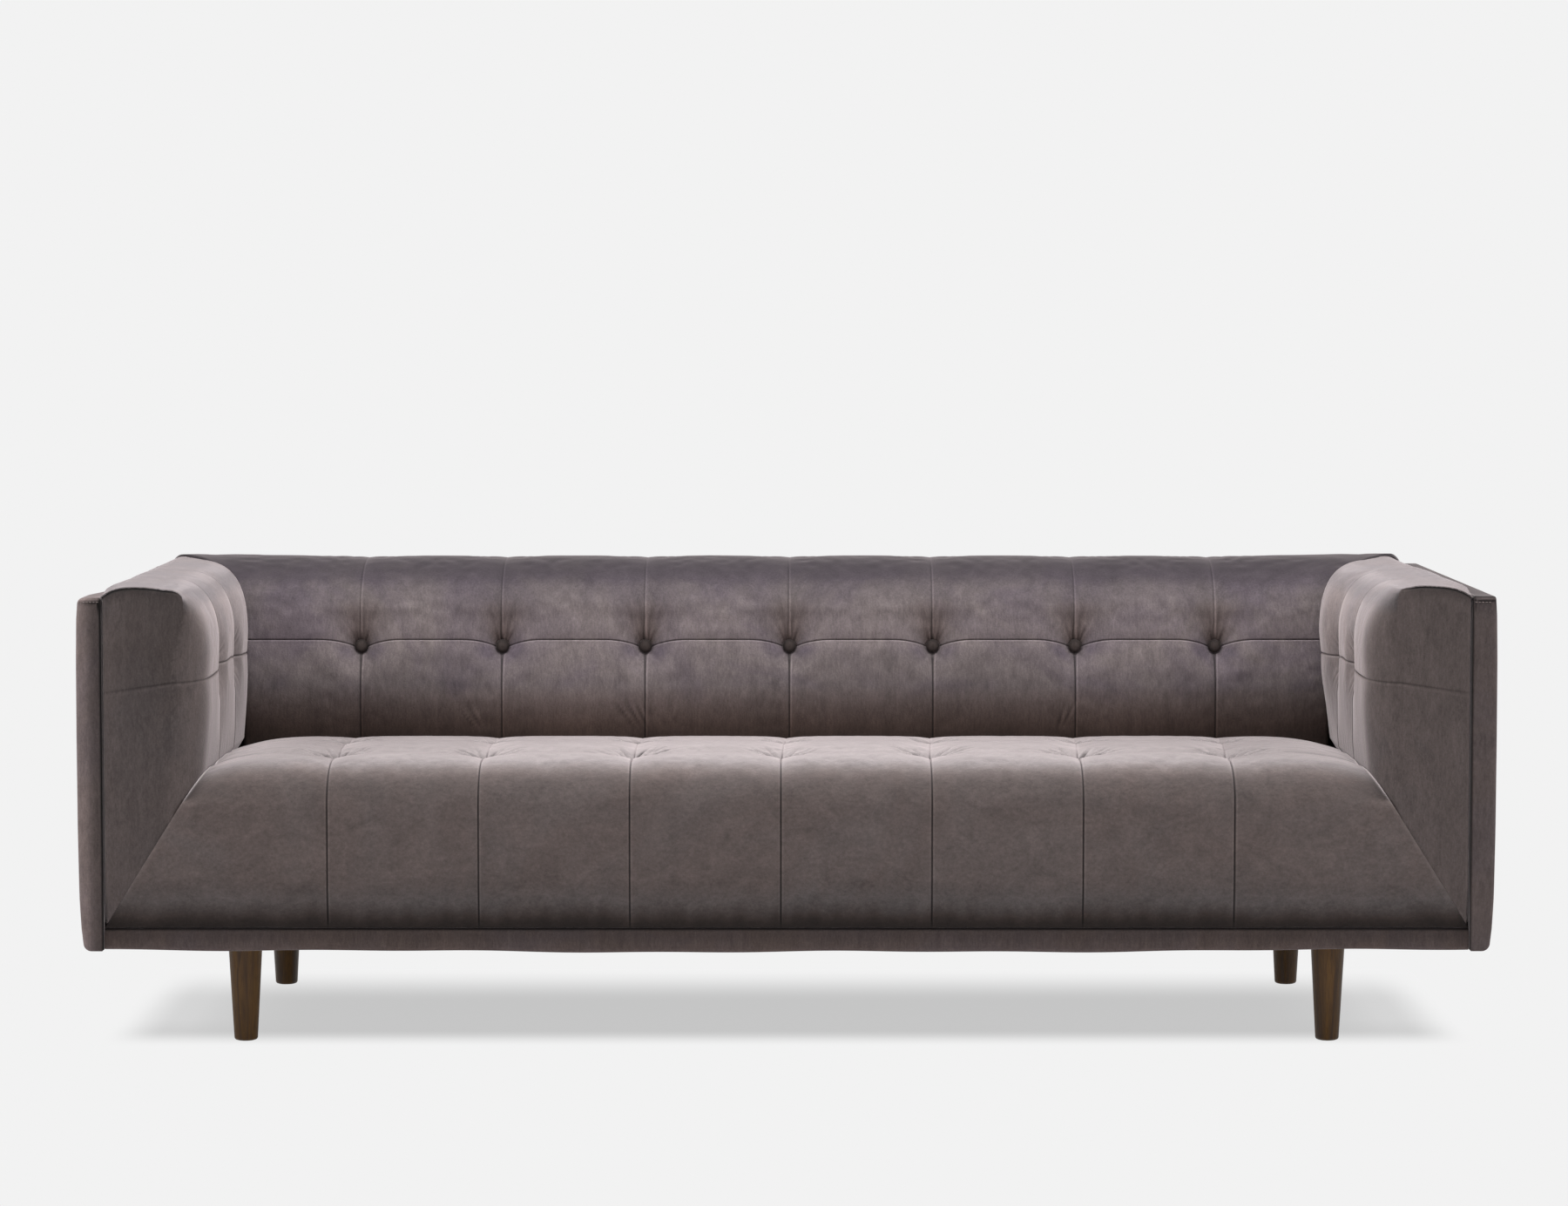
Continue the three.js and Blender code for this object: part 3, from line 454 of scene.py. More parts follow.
def velvet_pile_group():
    """Velvet's cut pile: brushed patches, short strokes, a fine speckle and the pile's height, with painted light and
    shade carried in the mesh's attributes.
    """
    tree, given, out = new_group(
        "velvet_pile",
        "ShaderNodeTree",
        [
            ("Pile", "Color", (0.12, 0.1, 0.105, 1)),
            ("Brushed", "Color", (0.09, 0.078, 0.09, 1)),
            ("Patch Size", "Float", 5.0),
            ("Patch Strength", "Float", 0.5),
            ("Stroke Size", "Vector", (60, 60, 14)),
        ],
        LOOKS,
    )
    place = object_place(tree)
    lay_and_light_tint, nap = (add(tree, "ShaderNodeAttribute", attribute_name=name).outputs["Fac"] for name in ("lay_and_light_tint", "nap"))

    def scaled(vector, factor):
        return add(tree, "ShaderNodeVectorMath", {0: vector, "Scale": factor}, operation="SCALE").outputs["Vector"]

    # A positive lay moves the colour towards the brushed one, and a negative lay makes it warmer; the lay carries tints
    # that go with the pile's direction and with painted light and shade.
    patches = ramp(tree, noise(tree, place, given.outputs["Patch Size"], 4, 1.6, 0.6), 0.42, 0.66)
    amount = calc(tree, "MULTIPLY_ADD", patches, given.outputs["Patch Strength"], lay_and_light_tint, clamp=True)
    ground = mixed(tree, amount, given.outputs["Pile"], given.outputs["Brushed"])
    warm = mixed(tree, calc(tree, "MULTIPLY", lay_and_light_tint, -1, clamp=True), (1, 1, 1, 1), (1, 0.8, 0.68, 1))
    stretched = times(tree, place, given.outputs["Stroke Size"])
    strokes = noise(tree, stretched, 1, 6, 0.8, 0.68)
    speckle = noise(tree, place, 380, 2)
    hairs = noise(tree, scaled(stretched, 6), 1, 3, 0.3, 0.6)
    shade = calc(tree, "MULTIPLY_ADD", strokes, 0.9, 0.55)
    shade = calc(tree, "MULTIPLY", shade, calc(tree, "MULTIPLY_ADD", speckle, 0.4, 0.8))
    shade = calc(tree, "MULTIPLY", calc(tree, "MULTIPLY_ADD", hairs, 0.7, 0.65), shade)
    # The nap attribute scales the colour: the pile's direction together with painted light and shade.
    shade = calc(tree, "MULTIPLY", shade, calc(tree, "ADD", nap, 1))
    looks = {
        "Color": scaled(times(tree, ground, warm), shade),
        "Roughness": ramp(tree, strokes, 0, 1, 0.75, 0.95),
        "Height": calc(tree, "MULTIPLY_ADD", strokes, 0.35, speckle),
    }
    fill(tree, out, looks)
    return tree


velvet_pile = velvet_pile_group()
MAUVE = (0.085, 0.07, 0.079)


def velvet(name, pile, brushed=MAUVE, patch_size=5.0, patch_strength=0.5, stroke_size=(60, 60, 14),
           sheen=0.7, sheen_spread=0.3):
    material, tree = new_material(name)
    inputs = {
        "Pile": (*pile, 1),
        "Brushed": (*brushed, 1),
        "Patch Size": patch_size,
        "Patch Strength": patch_strength,
        "Stroke Size": stroke_size,
    }
    cut_pile = add(tree, "ShaderNodeGroup", inputs, node_tree=velvet_pile)
    looks = {
        "Base Color": cut_pile.outputs["Color"],
        "Roughness": cut_pile.outputs["Roughness"],
        "Normal": raised(tree, cut_pile.outputs["Height"], 0.35, 0.0008),
        "Specular IOR Level": 0.15,
        "Sheen Weight": sheen,
        "Sheen Roughness": sheen_spread,
        "Sheen Tint": (0.95, 0.84, 0.85, 1),
    }
    return surfaced(material, tree, looks)


def sheet_mesh(name, points, nap=None, lay_and_light_tint=None, closed=False):
    """Mesh over a grid of points (rows, columns, 3), with the nap (pile direction and painted light and shade) and the
    lay tint as attributes.

    Where closed, each row is a ring, and the first and last rings are filled.
    """
    rows, columns = points.shape[:2]
    index = np.arange(rows * columns).reshape(rows, columns)
    nxt = np.roll(index, -1, axis=1) if closed else index[:, 1:]
    cur = index if closed else index[:, :-1]
    faces = np.stack([cur[:-1], nxt[:-1], nxt[1:], cur[1:]], axis=-1).reshape(-1, 4).tolist()
    if closed:
        faces += [index[0][::-1].tolist(), index[-1].tolist()]
    mesh = bpy.data.meshes.new(name)
    mesh.from_pydata(points.reshape(-1, 3).tolist(), [], faces)
    for label, values in (("nap", nap), ("lay_and_light_tint", lay_and_light_tint)):
        if values is not None:
            field = mesh.attributes.new(label, "FLOAT", "POINT")
            field.data.foreach_set("value", np.asarray(values, dtype=np.float32).ravel())
    mesh.shade_smooth()
    return mesh


def bell(distance, width):
    return np.exp(-((distance / width) ** 2))


def smoothstep(x, low, high):
    t = np.clip((x - low) / (high - low), 0, 1)
    return t * t * (3 - 2 * t)


def arc_corner(x, z, radius, start, steps=6):
    angles = np.radians(start + np.linspace(0, 90, steps))
    return np.stack([x + radius * np.cos(angles), z + radius * np.sin(angles)], axis=1)


def upholstered(name, mesh, cloth, node):
    mesh.materials.append(cloth)
    piece = new_piece(name, mesh)
    smooth(piece, 60)
    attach(piece, "root")
    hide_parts(node)


RIGHT_PANEL_RISE = 0.0025
TOP_DRAWN_IN, FOOT_DRAWN_IN = 0.003, 0.0075
PANEL_EDGE = 0.0075
PANEL_CROWN = 0.0012


def side_panel(name, side, node):
    top_round, foot_round = 0.01 if side < 0 else 0.005, 0.013
    low, high, inner = SHELL_LOW, SHELL_TOP + (RIGHT_PANEL_RISE if side > 0 else 0), SHELL_INNER_X
    flat, foot = SHELL_OUTER_X - TOP_DRAWN_IN, SHELL_OUTER_X - FOOT_DRAWN_IN
    heights = np.linspace(low + foot_round, high - top_round, 24)[1:-1]
    mid, half = (low + high) / 2, (high - low) / 2
    # How far the cover is drawn in from the fullest part of the face, by height.
    drawn_at = (low, 0.185, 0.21, 0.25, 0.35, 0.5, 0.62, 0.69, high)
    drawn_in = (FOOT_DRAWN_IN, 0.0058, 0.004, 0.002, 0.0005, 0, 0.0003, 0.0015, TOP_DRAWN_IN)
    swell = SHELL_OUTER_X - np.interp(heights, drawn_at, drawn_in)
    outline = np.concatenate(
        [
            arc_corner(foot - foot_round, low + foot_round, foot_round, -90, 8),
            np.stack([swell, heights], axis=1),
            arc_corner(flat - top_round, high - top_round, top_round, 0, 6),
            np.stack([np.linspace(flat - top_round, inner + 0.003, 5)[1:], np.full(4, high)], axis=1),
            [[inner, high - 0.003]],
            np.stack([np.full(20, inner), np.linspace(high, low, 22)[1:-1]], axis=1),
            [[inner, low + 0.003], [inner + 0.003, low]],
        ]
    )
    middle = np.array([(inner + flat) / 2, mid])
    half_width = (flat - inner) / 2

    def inset(amount):
        shrunk = outline.copy()
        shrunk[:, 0] = middle[0] + (outline[:, 0] - middle[0]) * (1 - amount / half_width)
        reach = np.clip(np.abs(outline[:, 1] - mid) / half, 0, 1)
        shrunk[:, 1] -= np.sign(outline[:, 1] - mid) * amount * (reach > 0.9)
        return shrunk

    # Rings over the front: how far in from the outline, and how far back.
    rings = [(half_width * share, 0) for share in (0.98, 0.7, 0.45)]
    for turn in np.radians(np.linspace(90, 0, 7)):
        rings.append((PANEL_EDGE * (1 - math.cos(turn)), PANEL_EDGE * (1 - math.sin(turn))))
    front = [(ins, d + PANEL_CROWN * (ins / half_width)) for ins, d in rings]
    stations = front + [(0, d) for d in np.linspace(0.03, SHELL_DEPTH - 0.03, 24)]
    stations += [(ins, SHELL_DEPTH - d) for ins, d in front[::-1]]
    points, nap = [], []
    for ins, d in stations:
        ring = inset(ins)
        y = np.full(len(ring), SOFA_FRONT + d)
        # The left panel's wadding has sunk a little along the top.
        if side < 0:
            sunk = np.interp(d, (0.08, 0.3, 0.75, 0.87), (0, 0.0075, 0.0075, 0.002))
            ring[:, 1] -= sunk * smoothstep(ring[:, 1], high - 0.15, high)
        points.append(np.stack([side * ring[:, 0], y, ring[:, 1]], axis=1))
        # Painted shade in the seam along the top of the front, a painted highlight just above it, and a painted shadow
        # in the gap beside the pad.
        seam = bell(ring[:, 1] - (high - 0.007), 0.0016) * (1.0 if d < 0.012 else 0)
        gap = np.clip(1.6 - (ring[:, 0] - inner) / 0.0025, 0, 1.7) if d < 0.03 else 0
        shade = -0.75 * seam + 0.25 * bell(ring[:, 1] - (high - 0.003), 0.002) - 0.5 * gap
        # The right panel is painted darker as shade, most of all along its top.
        if side > 0:
            along_top = smoothstep(ring[:, 1], high - 0.005, high - 0.001) * (ring[:, 1] > high - 0.006)
            shade -= 0.22 + 0.68 * along_top
        elif d < PANEL_EDGE:
            # The left panel's front has a painted highlight along its outer edge.
            shade += np.interp(ring[:, 0], (1.068, 1.078, 1.085, 1.091, 1.098), (-0.42, -0.36, -0.14, 0.3, 0.6))
        nap.append(shade)
    points = np.array(points)
    if side > 0:
        points, nap = points[::-1], nap[::-1]
    mesh = sheet_mesh(name, points, np.array(nap), closed=True)
    cloth = velvet(name + "_velvet", (0.104, 0.081, 0.077), patch_strength=0.35, stroke_size=(60, 26, 20))
    upholstered(name, mesh, cloth, node)


side_panel("side_panel_left", -1, "outer_side_panel_left")
side_panel("side_panel_right", 1, "outer_side_panel_right")


# Pads of the arms and the back: foam and wadding on the frame, under a velvet cover sewn from
# panels. Buttons pull the seams into the foam; the cover puffs out and wrinkles between them.
TUFT_XS = np.arange(-3, 4) * 0.2415
BACK_INNER_D = 0.84
SEAT_DEPTH = 0.597
ARM_INNER_X = 0.917
PAD_OUTER_X = 1.0677
SEAT_CORNER_Z = 0.440
SEAT_BROW_Z = 0.392
PAD_FOOT_Z = 0.1979
PAD_FRONT_D = 0.003
FOOT_SET_BACK = 0.009
MITRE_GAP = 0.0004
ARM_TUFT_DS = np.array([0.2537, 0.4537])
# Past its last tuft a pad's cover is cut to end on the mitre.
LAST_PLAIN_X = TUFT_XS[-1] + 0.06


def crease(distance, depth, reach):
    return depth * np.clip(1 - np.abs(distance) / reach, 0, None) ** 2


def length_along(section):
    return np.concatenate([[0], np.cumsum(np.hypot(*np.diff(section, axis=0).T))])


def at_length(section, run, s):
    """Both columns of a section at these lengths along it."""
    return (np.interp(s.ravel(), run, column).reshape(s.shape) for column in section.T)


def off_tuft(x):
    return np.min(np.abs(x[..., None] - TUFT_XS), axis=-1)


def mitred(x, end):
    """Distances from the middle, stretched or cut short past the last tuft to reach the mitre."""
    beyond = np.clip((np.abs(x) - LAST_PLAIN_X) / (ARM_INNER_X - LAST_PLAIN_X), 0, 1)[None]
    return np.where(beyond > 0, LAST_PLAIN_X + (end - LAST_PLAIN_X) * beyond, np.abs(x)[None])


def moved_tufts(x, by):
    return np.interp(x, (-ARM_INNER_X, *TUFT_XS, ARM_INNER_X), (0, *by, 0))


def parts(*stretches):
    """Positions over stretches that meet: (start, end, number of steps) each."""
    return np.concatenate([np.linspace(a, b, n + 1)[:-1] for a, b, n in stretches] + [[stretches[-1][1]]])


def sewn_points(rows, columns, seams, tufts):
    """Mask of a grid's points that are sewn down: its border, its seams' rows and its tufts' columns."""
    mask = np.zeros((len(rows), len(columns)), bool)
    mask[[0, -1]] = mask[:, [0, -1]] = True
    for seam in seams:
        mask[np.argmin(np.abs(rows - seam))] = True
    for tuft in tufts:
        mask[:, np.argmin(np.abs(columns - tuft))] = True
    return mask


def upright_section(thickness, lean, bulge, crest_in, crest_up, shoulder, power, foot_z):
    """Section (t from the outer panel, z) over the top and down the face, and its length so far."""
    shoulder_z = SHELL_TOP + crest_up - shoulder

    def face(z):
        share = np.clip((z - SEAT_CORNER_Z) / (shoulder_z - SEAT_CORNER_Z), 0, None)
        return thickness - lean * share + bulge * np.sin(np.pi * np.clip(share, -0.2, 1.2))

    share = np.linspace(0, 1, 20)
    top = np.stack([0.0003 + (crest_in - 0.0003) * share, SHELL_TOP + crest_up * (1 - (1 - share) ** 4)], axis=1)
    turn = np.radians(np.linspace(0, 90, 34))[1:]
    reach = face(shoulder_z) - crest_in
    over = np.stack(
        [crest_in + reach * np.sin(turn) ** (2 / power), shoulder_z + shoulder * np.cos(turn) ** (2 / power)], axis=1
    )
    heights = np.linspace(shoulder_z, foot_z, 60)[1:]
    down = np.stack([face(heights), heights], axis=1)
    section = np.concatenate([top, over, down])
    run = length_along(section)
    # The foam eases every change of slope over some 40 mm.
    even = np.arange(0, run[-1], 0.002)
    rough = np.stack([np.interp(even, run, section[:, i]) for i in (0, 1)], axis=1)
    window = np.hanning(23)
    window /= window.sum()
    ends = [rough[0] - (rough[1] - rough[0]) * k for k in range(11, 0, -1)]
    tail = [rough[-1] + (rough[-1] - rough[-2]) * k for k in range(1, 12)]
    long = np.concatenate([ends, rough, tail])
    section = np.stack([np.convolve(long[:, i], window, "valid") for i in (0, 1)], axis=1)
    return section, length_along(section)


def spaced(marks, steps, low, high, widest):
    """Positions from low to high: close together at each mark, and never further apart than widest."""
    found = {round(low, 6), round(high, 6)}
    for mark in marks:
        for step in steps:
            for place in (mark - step, mark + step):
                if low < place < high:
                    found.add(round(place, 6))
    places = sorted(found)
    kept = [places[0]]
    for place in places[1:]:
        near = min((abs(place - m) for m in marks), default=1)
        if place - kept[-1] > (0.0006 if near < 0.012 else 0.002) or place == places[-1]:
            kept.append(place)
    filled = []
    for a, b in zip(kept[:-1], kept[1:]):
        count = max(1, math.ceil((b - a) / widest))
        filled += [a + (b - a) * i / count for i in range(count)]
    return np.array(filled + [kept[-1]])


SEAM_STEPS = (0, 0.0008, 0.0017, 0.0028, 0.0042, 0.006, 0.0083, *np.arange(0.011, 0.056, 0.003))
WIDEST_STEP = 0.005
FINE_XS = spaced(TUFT_XS, SEAM_STEPS, -ARM_INNER_X, ARM_INNER_X, WIDEST_STEP)
ROUGH_XS = parts(*[(a, b, 18) for a, b in zip([-ARM_INNER_X, *TUFT_XS], [*TUFT_XS, ARM_INNER_X])])


def grid_normals(points):
    down = np.gradient(points, axis=0)
    across = np.gradient(points, axis=1)
    normal = np.cross(across, down)
    return normal / np.maximum(np.linalg.norm(normal, axis=2, keepdims=True), 1e-12)


def puff_cover(points, pinned, pressure, slack, cap):
    """How far a cover sewn down at its pinned points moves when it is filled: a cloth simulation."""
    cover = new_piece("cover_pattern", sheet_mesh("cover_pattern", points))
    sewn = cover.vertex_groups.new(name="sewn")
    sewn.add(np.flatnonzero(pinned.ravel()).tolist(), 1.0, "REPLACE")
    cloth = cover.modifiers.new("cloth", "CLOTH")
    fabric = cloth.settings
    fabric.quality = 6
    fabric.mass = 0.05
    fabric.air_damping = 2.0
    fabric.tension_stiffness = 20
    fabric.compression_stiffness = 20
    fabric.shear_stiffness = 6
    fabric.bending_stiffness = 0.6
    fabric.vertex_group_mass = "sewn"
    fabric.shrink_min = -slack
    fabric.use_pressure = True
    fabric.uniform_pressure_force = pressure
    fabric.effector_weights.gravity = 0
    cloth.collision_settings.use_collision = False
    cloth.point_cache.frame_start = 1
    cloth.point_cache.frame_end = 24
    for step in range(1, 25):
        scene.frame_set(step)
    made = cover.evaluated_get(bpy.context.evaluated_depsgraph_get())
    moved = np.empty(len(made.data.vertices) * 3)
    made.data.vertices.foreach_get("co", moved)
    bpy.data.objects.remove(cover)
    scene.frame_set(1)
    shift = moved.reshape(points.shape) - points
    length = np.linalg.norm(shift, axis=2, keepdims=True)
    return shift * np.minimum(1, cap / np.maximum(length, 1e-9))


def resample(values, rows_from, columns_from, rows_to, columns_to):
    """A grid of vectors read between its points, smoothly, at other rows and columns."""
    def weights(knots, places):
        at = np.interp(places, knots, np.arange(len(knots)))
        base = np.clip(np.floor(at).astype(int), 0, len(knots) - 2)
        t = (at - base)[:, None]
        picks = np.clip(base[:, None] + np.arange(-1, 3), 0, len(knots) - 1)
        shares = np.concatenate(
            [
                -0.5 * t + t**2 - 0.5 * t**3,
                1 - 2.5 * t**2 + 1.5 * t**3,
                0.5 * t + 2 * t**2 - 1.5 * t**3,
                -0.5 * t**2 + 0.5 * t**3,
            ],
            axis=1,
        )
        return picks, shares

    picks, shares = weights(rows_from, rows_to)
    values = np.einsum("rkcx,rk->rcx", values[picks], shares)
    picks, shares = weights(columns_from, columns_to)
    return np.einsum("rckx,ck->rcx", values[:, picks], shares)


def set_back(z):
    """How far the arms' fronts and the seat's draw back towards their foot."""
    return FOOT_SET_BACK * smoothstep((SEAT_BROW_Z - z) / (SEAT_BROW_Z - PAD_FOOT_Z), 0.55, 1) ** 1.5


def mitre_tuck(inward):
    """Directions into the foam that lie in the mitre between the arm and the seat."""
    across = np.array([SEAT_CORNER_Z - PAD_FOOT_Z, 0, PAD_OUTER_X - ARM_INNER_X])
    across /= np.linalg.norm(across)
    flat = inward - (inward @ across)[:, None] * across
    return flat / np.linalg.norm(flat, axis=1, keepdims=True)


def joined_sheets(name, sheets, flip):
    """One mesh of several grids, welded where their edges meet."""
    joined = bmesh.new()
    for label in ("nap", "lay_and_light_tint"):
        joined.verts.layers.float.new(label)
    for points, nap, lay_and_light_tint in sheets:
        if flip:
            points, nap, lay_and_light_tint = points[:, ::-1], nap[:, ::-1], lay_and_light_tint[:, ::-1]
        part = sheet_mesh(name, points, np.clip(nap, -0.92, 1.6), lay_and_light_tint)
        joined.from_mesh(part)
        bpy.data.meshes.remove(part)
    bmesh.ops.remove_doubles(joined, verts=joined.verts, dist=1e-6)
    mesh = bpy.data.meshes.new(name)
    joined.to_mesh(mesh)
    joined.free()
    mesh.shade_smooth()
    return mesh


def covered_pad(name, mesh, cloth, node, thickness=0.009):
    mesh.materials.append(cloth)
    piece = new_piece(name, mesh)
    wall = piece.modifiers.new("wadding", "SOLIDIFY")
    wall.thickness = thickness
    wall.offset = -1
    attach(piece, "root")
    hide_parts(node)


def hemmed(hem, points, nap, lay_and_light_tint):
    """A cover's sheet with a turned edge before its first row, painted dark as shade."""
    return [np.concatenate(pair) for pair in ((hem, points), (nap[:1] * 0 - 0.6, nap), (lay_and_light_tint[:1], lay_and_light_tint))]


def fan_of_shade(u, v, wide, spread, high):
    """Strength of the painted shade in a fan upwards from a button, which widens and fades."""
    up = np.clip(v, 0, 1)
    return np.where(v > 0, bell(u, wide + spread * up) * np.exp(-up / high), 0)


def tuft_relief(u, v, folds, seed, longest=0.05, deep=0.0022, dark=0.3):
    """Depth and painted light round one button: u along the seam, v up from it. Folds fan out from the button, painted
    dark in their grooves as shade and light on their ridges as highlights.
    """
    r = np.hypot(u, v)
    angle = np.arctan2(v, u)
    chance = np.random.default_rng(seed)
    depth = 0.006 * bell(r, 0.016)
    nap = np.zeros_like(r)
    for fold in folds:
        lean = math.radians(fold + chance.uniform(-7, 7))
        long = longest * chance.uniform(0.6, 1)
        turn = np.abs((angle - lean + np.pi) % (2 * np.pi) - np.pi)
        off = r * np.sin(np.clip(turn, 0, np.pi / 2))
        run = smoothstep(r, 0.008, 0.016) * (1 - smoothstep(r, long * 0.5, long * 1.25))
        mask = run * (turn < np.pi / 2)
        depth += deep * mask * (bell(off, 0.003) - 0.55 * bell(off - 0.0055, 0.004))
        nap -= dark * mask * bell(off, 0.0022)
        nap += 0.5 * dark * mask * bell(off - 0.005, 0.003)
    return depth, nap


def seam_relief(distance, allowance=1):
    """Depth and painted light beside a seam: a thin groove painted dark as shade, with the seam allowance as a ridge on
    one side painted light as a highlight.
    """
    depth = 0.0016 * bell(distance, 0.0013) - 0.0003 * bell(distance - allowance * 0.0045, 0.0025)
    nap = -0.72 * bell(distance, 0.0012) + 0.3 * bell(distance - allowance * 0.0026, 0.0011)
    return depth, nap


# Back pad: one full-width cover of eight panels above the seam and eight below, seven buttons in
# the seam. It is mitred to the arm pads at both rear corners.
def uneven_edge(offset, rates):
    """How the edges of the bands of painted light and shade wander across the sofa."""
    return sum(np.sin(FINE_XS * rate + offset * rate) / 2.2 for rate in rates)[None]


def by_height(z, *tiers):
    """A measure that is given at some heights, in rising order."""
    return np.interp(z, *np.array([pair for tier in tiers for pair in tier]).T)


BACK_SEAM_Z = 0.5943
BACK_RISE = 0.012
# The back's tufts were marked a few millimetres to the right of an even spacing.
BACK_ASIDE = np.array([0.0047, 0.002, 0.0028, 0.0054, 0.0066, 0.006, 0.0014])


def back_pad():
    section, run = upright_section(
        thickness=0.243, lean=0.019, bulge=0.009, crest_in=0.083, crest_up=0.02, shoulder=0.1, power=2.2, foot_z=0.372
    )
    seam_s = np.interp(-BACK_SEAM_Z, -section[60:, 1], run[60:])

    def surface(s, x):
        t, z = at_length(section, run, s[:, None] + 0 * x[None])
        rise = BACK_RISE * (1 - np.clip(1 - off_tuft(x) / 0.066, 0, 1) ** 2)
        held = 1 - smoothstep(np.abs(s - seam_s), 0.02, 0.14)
        z = z + held[:, None] * rise[None]
        ends = smoothstep(np.abs(x), 0.78, 0.95) * (1 + 0.25 * (x > 0))
        z = z + np.interp(t, (0, 0.019, 0.064, 0.109), (0.009, 0.0075, 0.002, 0)) * ends[None] * (z > 0.7)
        d = BACK_INNER_D - t
        end = ARM_INNER_X + (d - SEAT_DEPTH) * (PAD_OUTER_X - ARM_INNER_X) / (BACK_INNER_D - SEAT_DEPTH)
        aside = moved_tufts(x, BACK_ASIDE)[None]
        return np.stack([np.sign(x)[None] * mitred(x, end - MITRE_GAP) + aside, SOFA_FRONT + d, z], axis=2)

    def broad(s, x):
        """The depth that the CAD form has too: creases at the seams and a dimple at each button."""
        v = (s - seam_s)[:, None]
        u = off_tuft(x)[None]
        top = 0.3 + 0.7 * smoothstep(s, 0.03, 0.2)[:, None]
        seams = np.maximum(crease(u, 0.0035, 0.045) * top, crease(v, 0.003, 0.05))
        return seams + crease(np.hypot(u, v), 0.019, 0.078)

    s_fine = spaced([seam_s], SEAM_STEPS, 0, run[-1], WIDEST_STEP)
    s_rough = parts((0, seam_s, 23), (seam_s, run[-1], 17))
    start = surface(s_rough, ROUGH_XS)
    start = start + grid_normals(start) * broad(s_rough, ROUGH_XS)[..., None]
    pinned = sewn_points(s_rough, ROUGH_XS, [seam_s], TUFT_XS)
    puff = puff_cover(start[::-1], pinned[::-1], pressure=1.2, slack=0.001, cap=0.0025)[::-1]

    points = surface(s_fine, FINE_XS)
    normal = -grid_normals(points)
    depth = broad(s_fine, FINE_XS)
    nap = np.zeros(depth.shape)
    v = (seam_s - s_fine)[:, None] + 0 * FINE_XS[None]
    # Small gathers where the cover is drawn down behind the seat, painted only, as lines of shade and highlight: slope,
    # height and offset, by tuft.
    gathers = {
        1: ((0.6, -0.12, 0.045), (0.8, -0.122, 0.058)),
        2: ((0.45, -0.112, 0.008), (0.6, -0.115, 0.019), (0.8, -0.118, 0.032)),
        5: ((-0.5, -0.118, 0.014), (-0.3, -0.122, 0.026)),
    }
    beside_button, warm = np.zeros(depth.shape), np.zeros(depth.shape)
    for i, tuft in enumerate(TUFT_XS):
        u = FINE_XS[None] - tuft + 0 * v
        close = (np.abs(u) < 0.11) & (np.abs(v) < 0.11)
        folds, shade = tuft_relief(u, v, (52, 118, 236, 258, 302), 10 + i, longest=0.045, deep=0.001, dark=0.07)
        depth += folds * close
        nap += shade * close
        # Painted shade in a striped fan above each button and round its dimple, with a warm tint; darker and tinted
        # beside and just below it.
        fan = fan_of_shade(u, v, 0.01, 0.42, 0.055)
        warm += 0.7 * fan
        stripes = 1 + 0.35 * np.sin(np.arctan2(u, v + 0.004) * 21 + 2 * i)
        nap -= 0.66 * fan * stripes + 0.1 * bell(np.hypot(u - 0.006, v + 0.012), 0.018)
        beside_button += 0.8 * bell(np.abs(u) - 0.024, 0.018) * bell(v + 0.014, 0.014)
        for lean, drop, aside in gathers.get(i, ()):
            off = u + (v - drop) * lean + aside
            nap += (0.45 * bell(off - 0.005, 0.003) - 0.4 * bell(off, 0.003)) * bell(v - drop, 0.019)
        groove, _ = seam_relief(u, 1)
        far = 1 - bell(np.hypot(u, v), 0.014)
        above = smoothstep(v, 0, 0.03)
        depth += groove * far * (0.45 - 0.3 * above)
        # Painted highlight and painted shade lines beside each seam, above and below the row of buttons.
        nap += far * above * (0.42 * bell(u - 0.0008, 0.0011) - 0.4 * bell(u + 0.0016, 0.0011))
        nap += far * (1 - above) * (0.6 * bell(u - 0.0026, 0.0012) - 0.8 * bell(u + 0.0002, 0.0013))
    groove, shade = seam_relief(v * 1.5, -1)
    depth += groove
    nap += shade * 0.85
    points = points + resample(puff, s_rough, ROUGH_XS, s_fine, FINE_XS) - normal * depth[..., None]
    # Painted light and shade by height: dark towards the seat and along the top, lighter up the face.
    z = points[..., 2]
    wander = uneven_edge(2.3, (11.0, 27.0, 49.0, 91.0, 170.0))
    painted_light_by_height = by_height(
        z + 0.003 * wander,
        ((0.44, 0.25), (0.46, 0.36), (0.471, 0.45), (0.483, 0.52), (0.494, 0.6), (0.506, 0.73), (0.53, 0.9)),
        ((0.56, 1.02), (0.59, 0.96), (0.615, 1.15), (0.64, 1.06), (0.66, 0.92), (0.671, 0.79)),
        ((0.683, 0.69), (0.694, 0.595), (0.706, 0.455), (0.718, 0.345), (0.737, 0.235)),
    )
    # Painted shade towards both ends below the seam, beside the arms.
    ends = smoothstep(np.abs(points[..., 0]), 0.45, 0.85) * (1 - smoothstep(z, 0.5, 0.58))
    # Below the seam each panel's pile lies a little differently.
    middles = (-0.8, -0.584, -0.352, -0.106, 0.133, 0.358, 0.589, 0.8)
    panels = np.interp(points[..., 0], middles, (0.95, 0.81, 1, 0.88, 0.79, 0.77, 0.95, 0.95))
    panels = 1 + (panels - 1) * (1 - smoothstep(z, 0.57, 0.6))
    nap = (1 + nap - 0.12 * beside_button) * painted_light_by_height * panels * (1 - 0.22 * ends) - 1
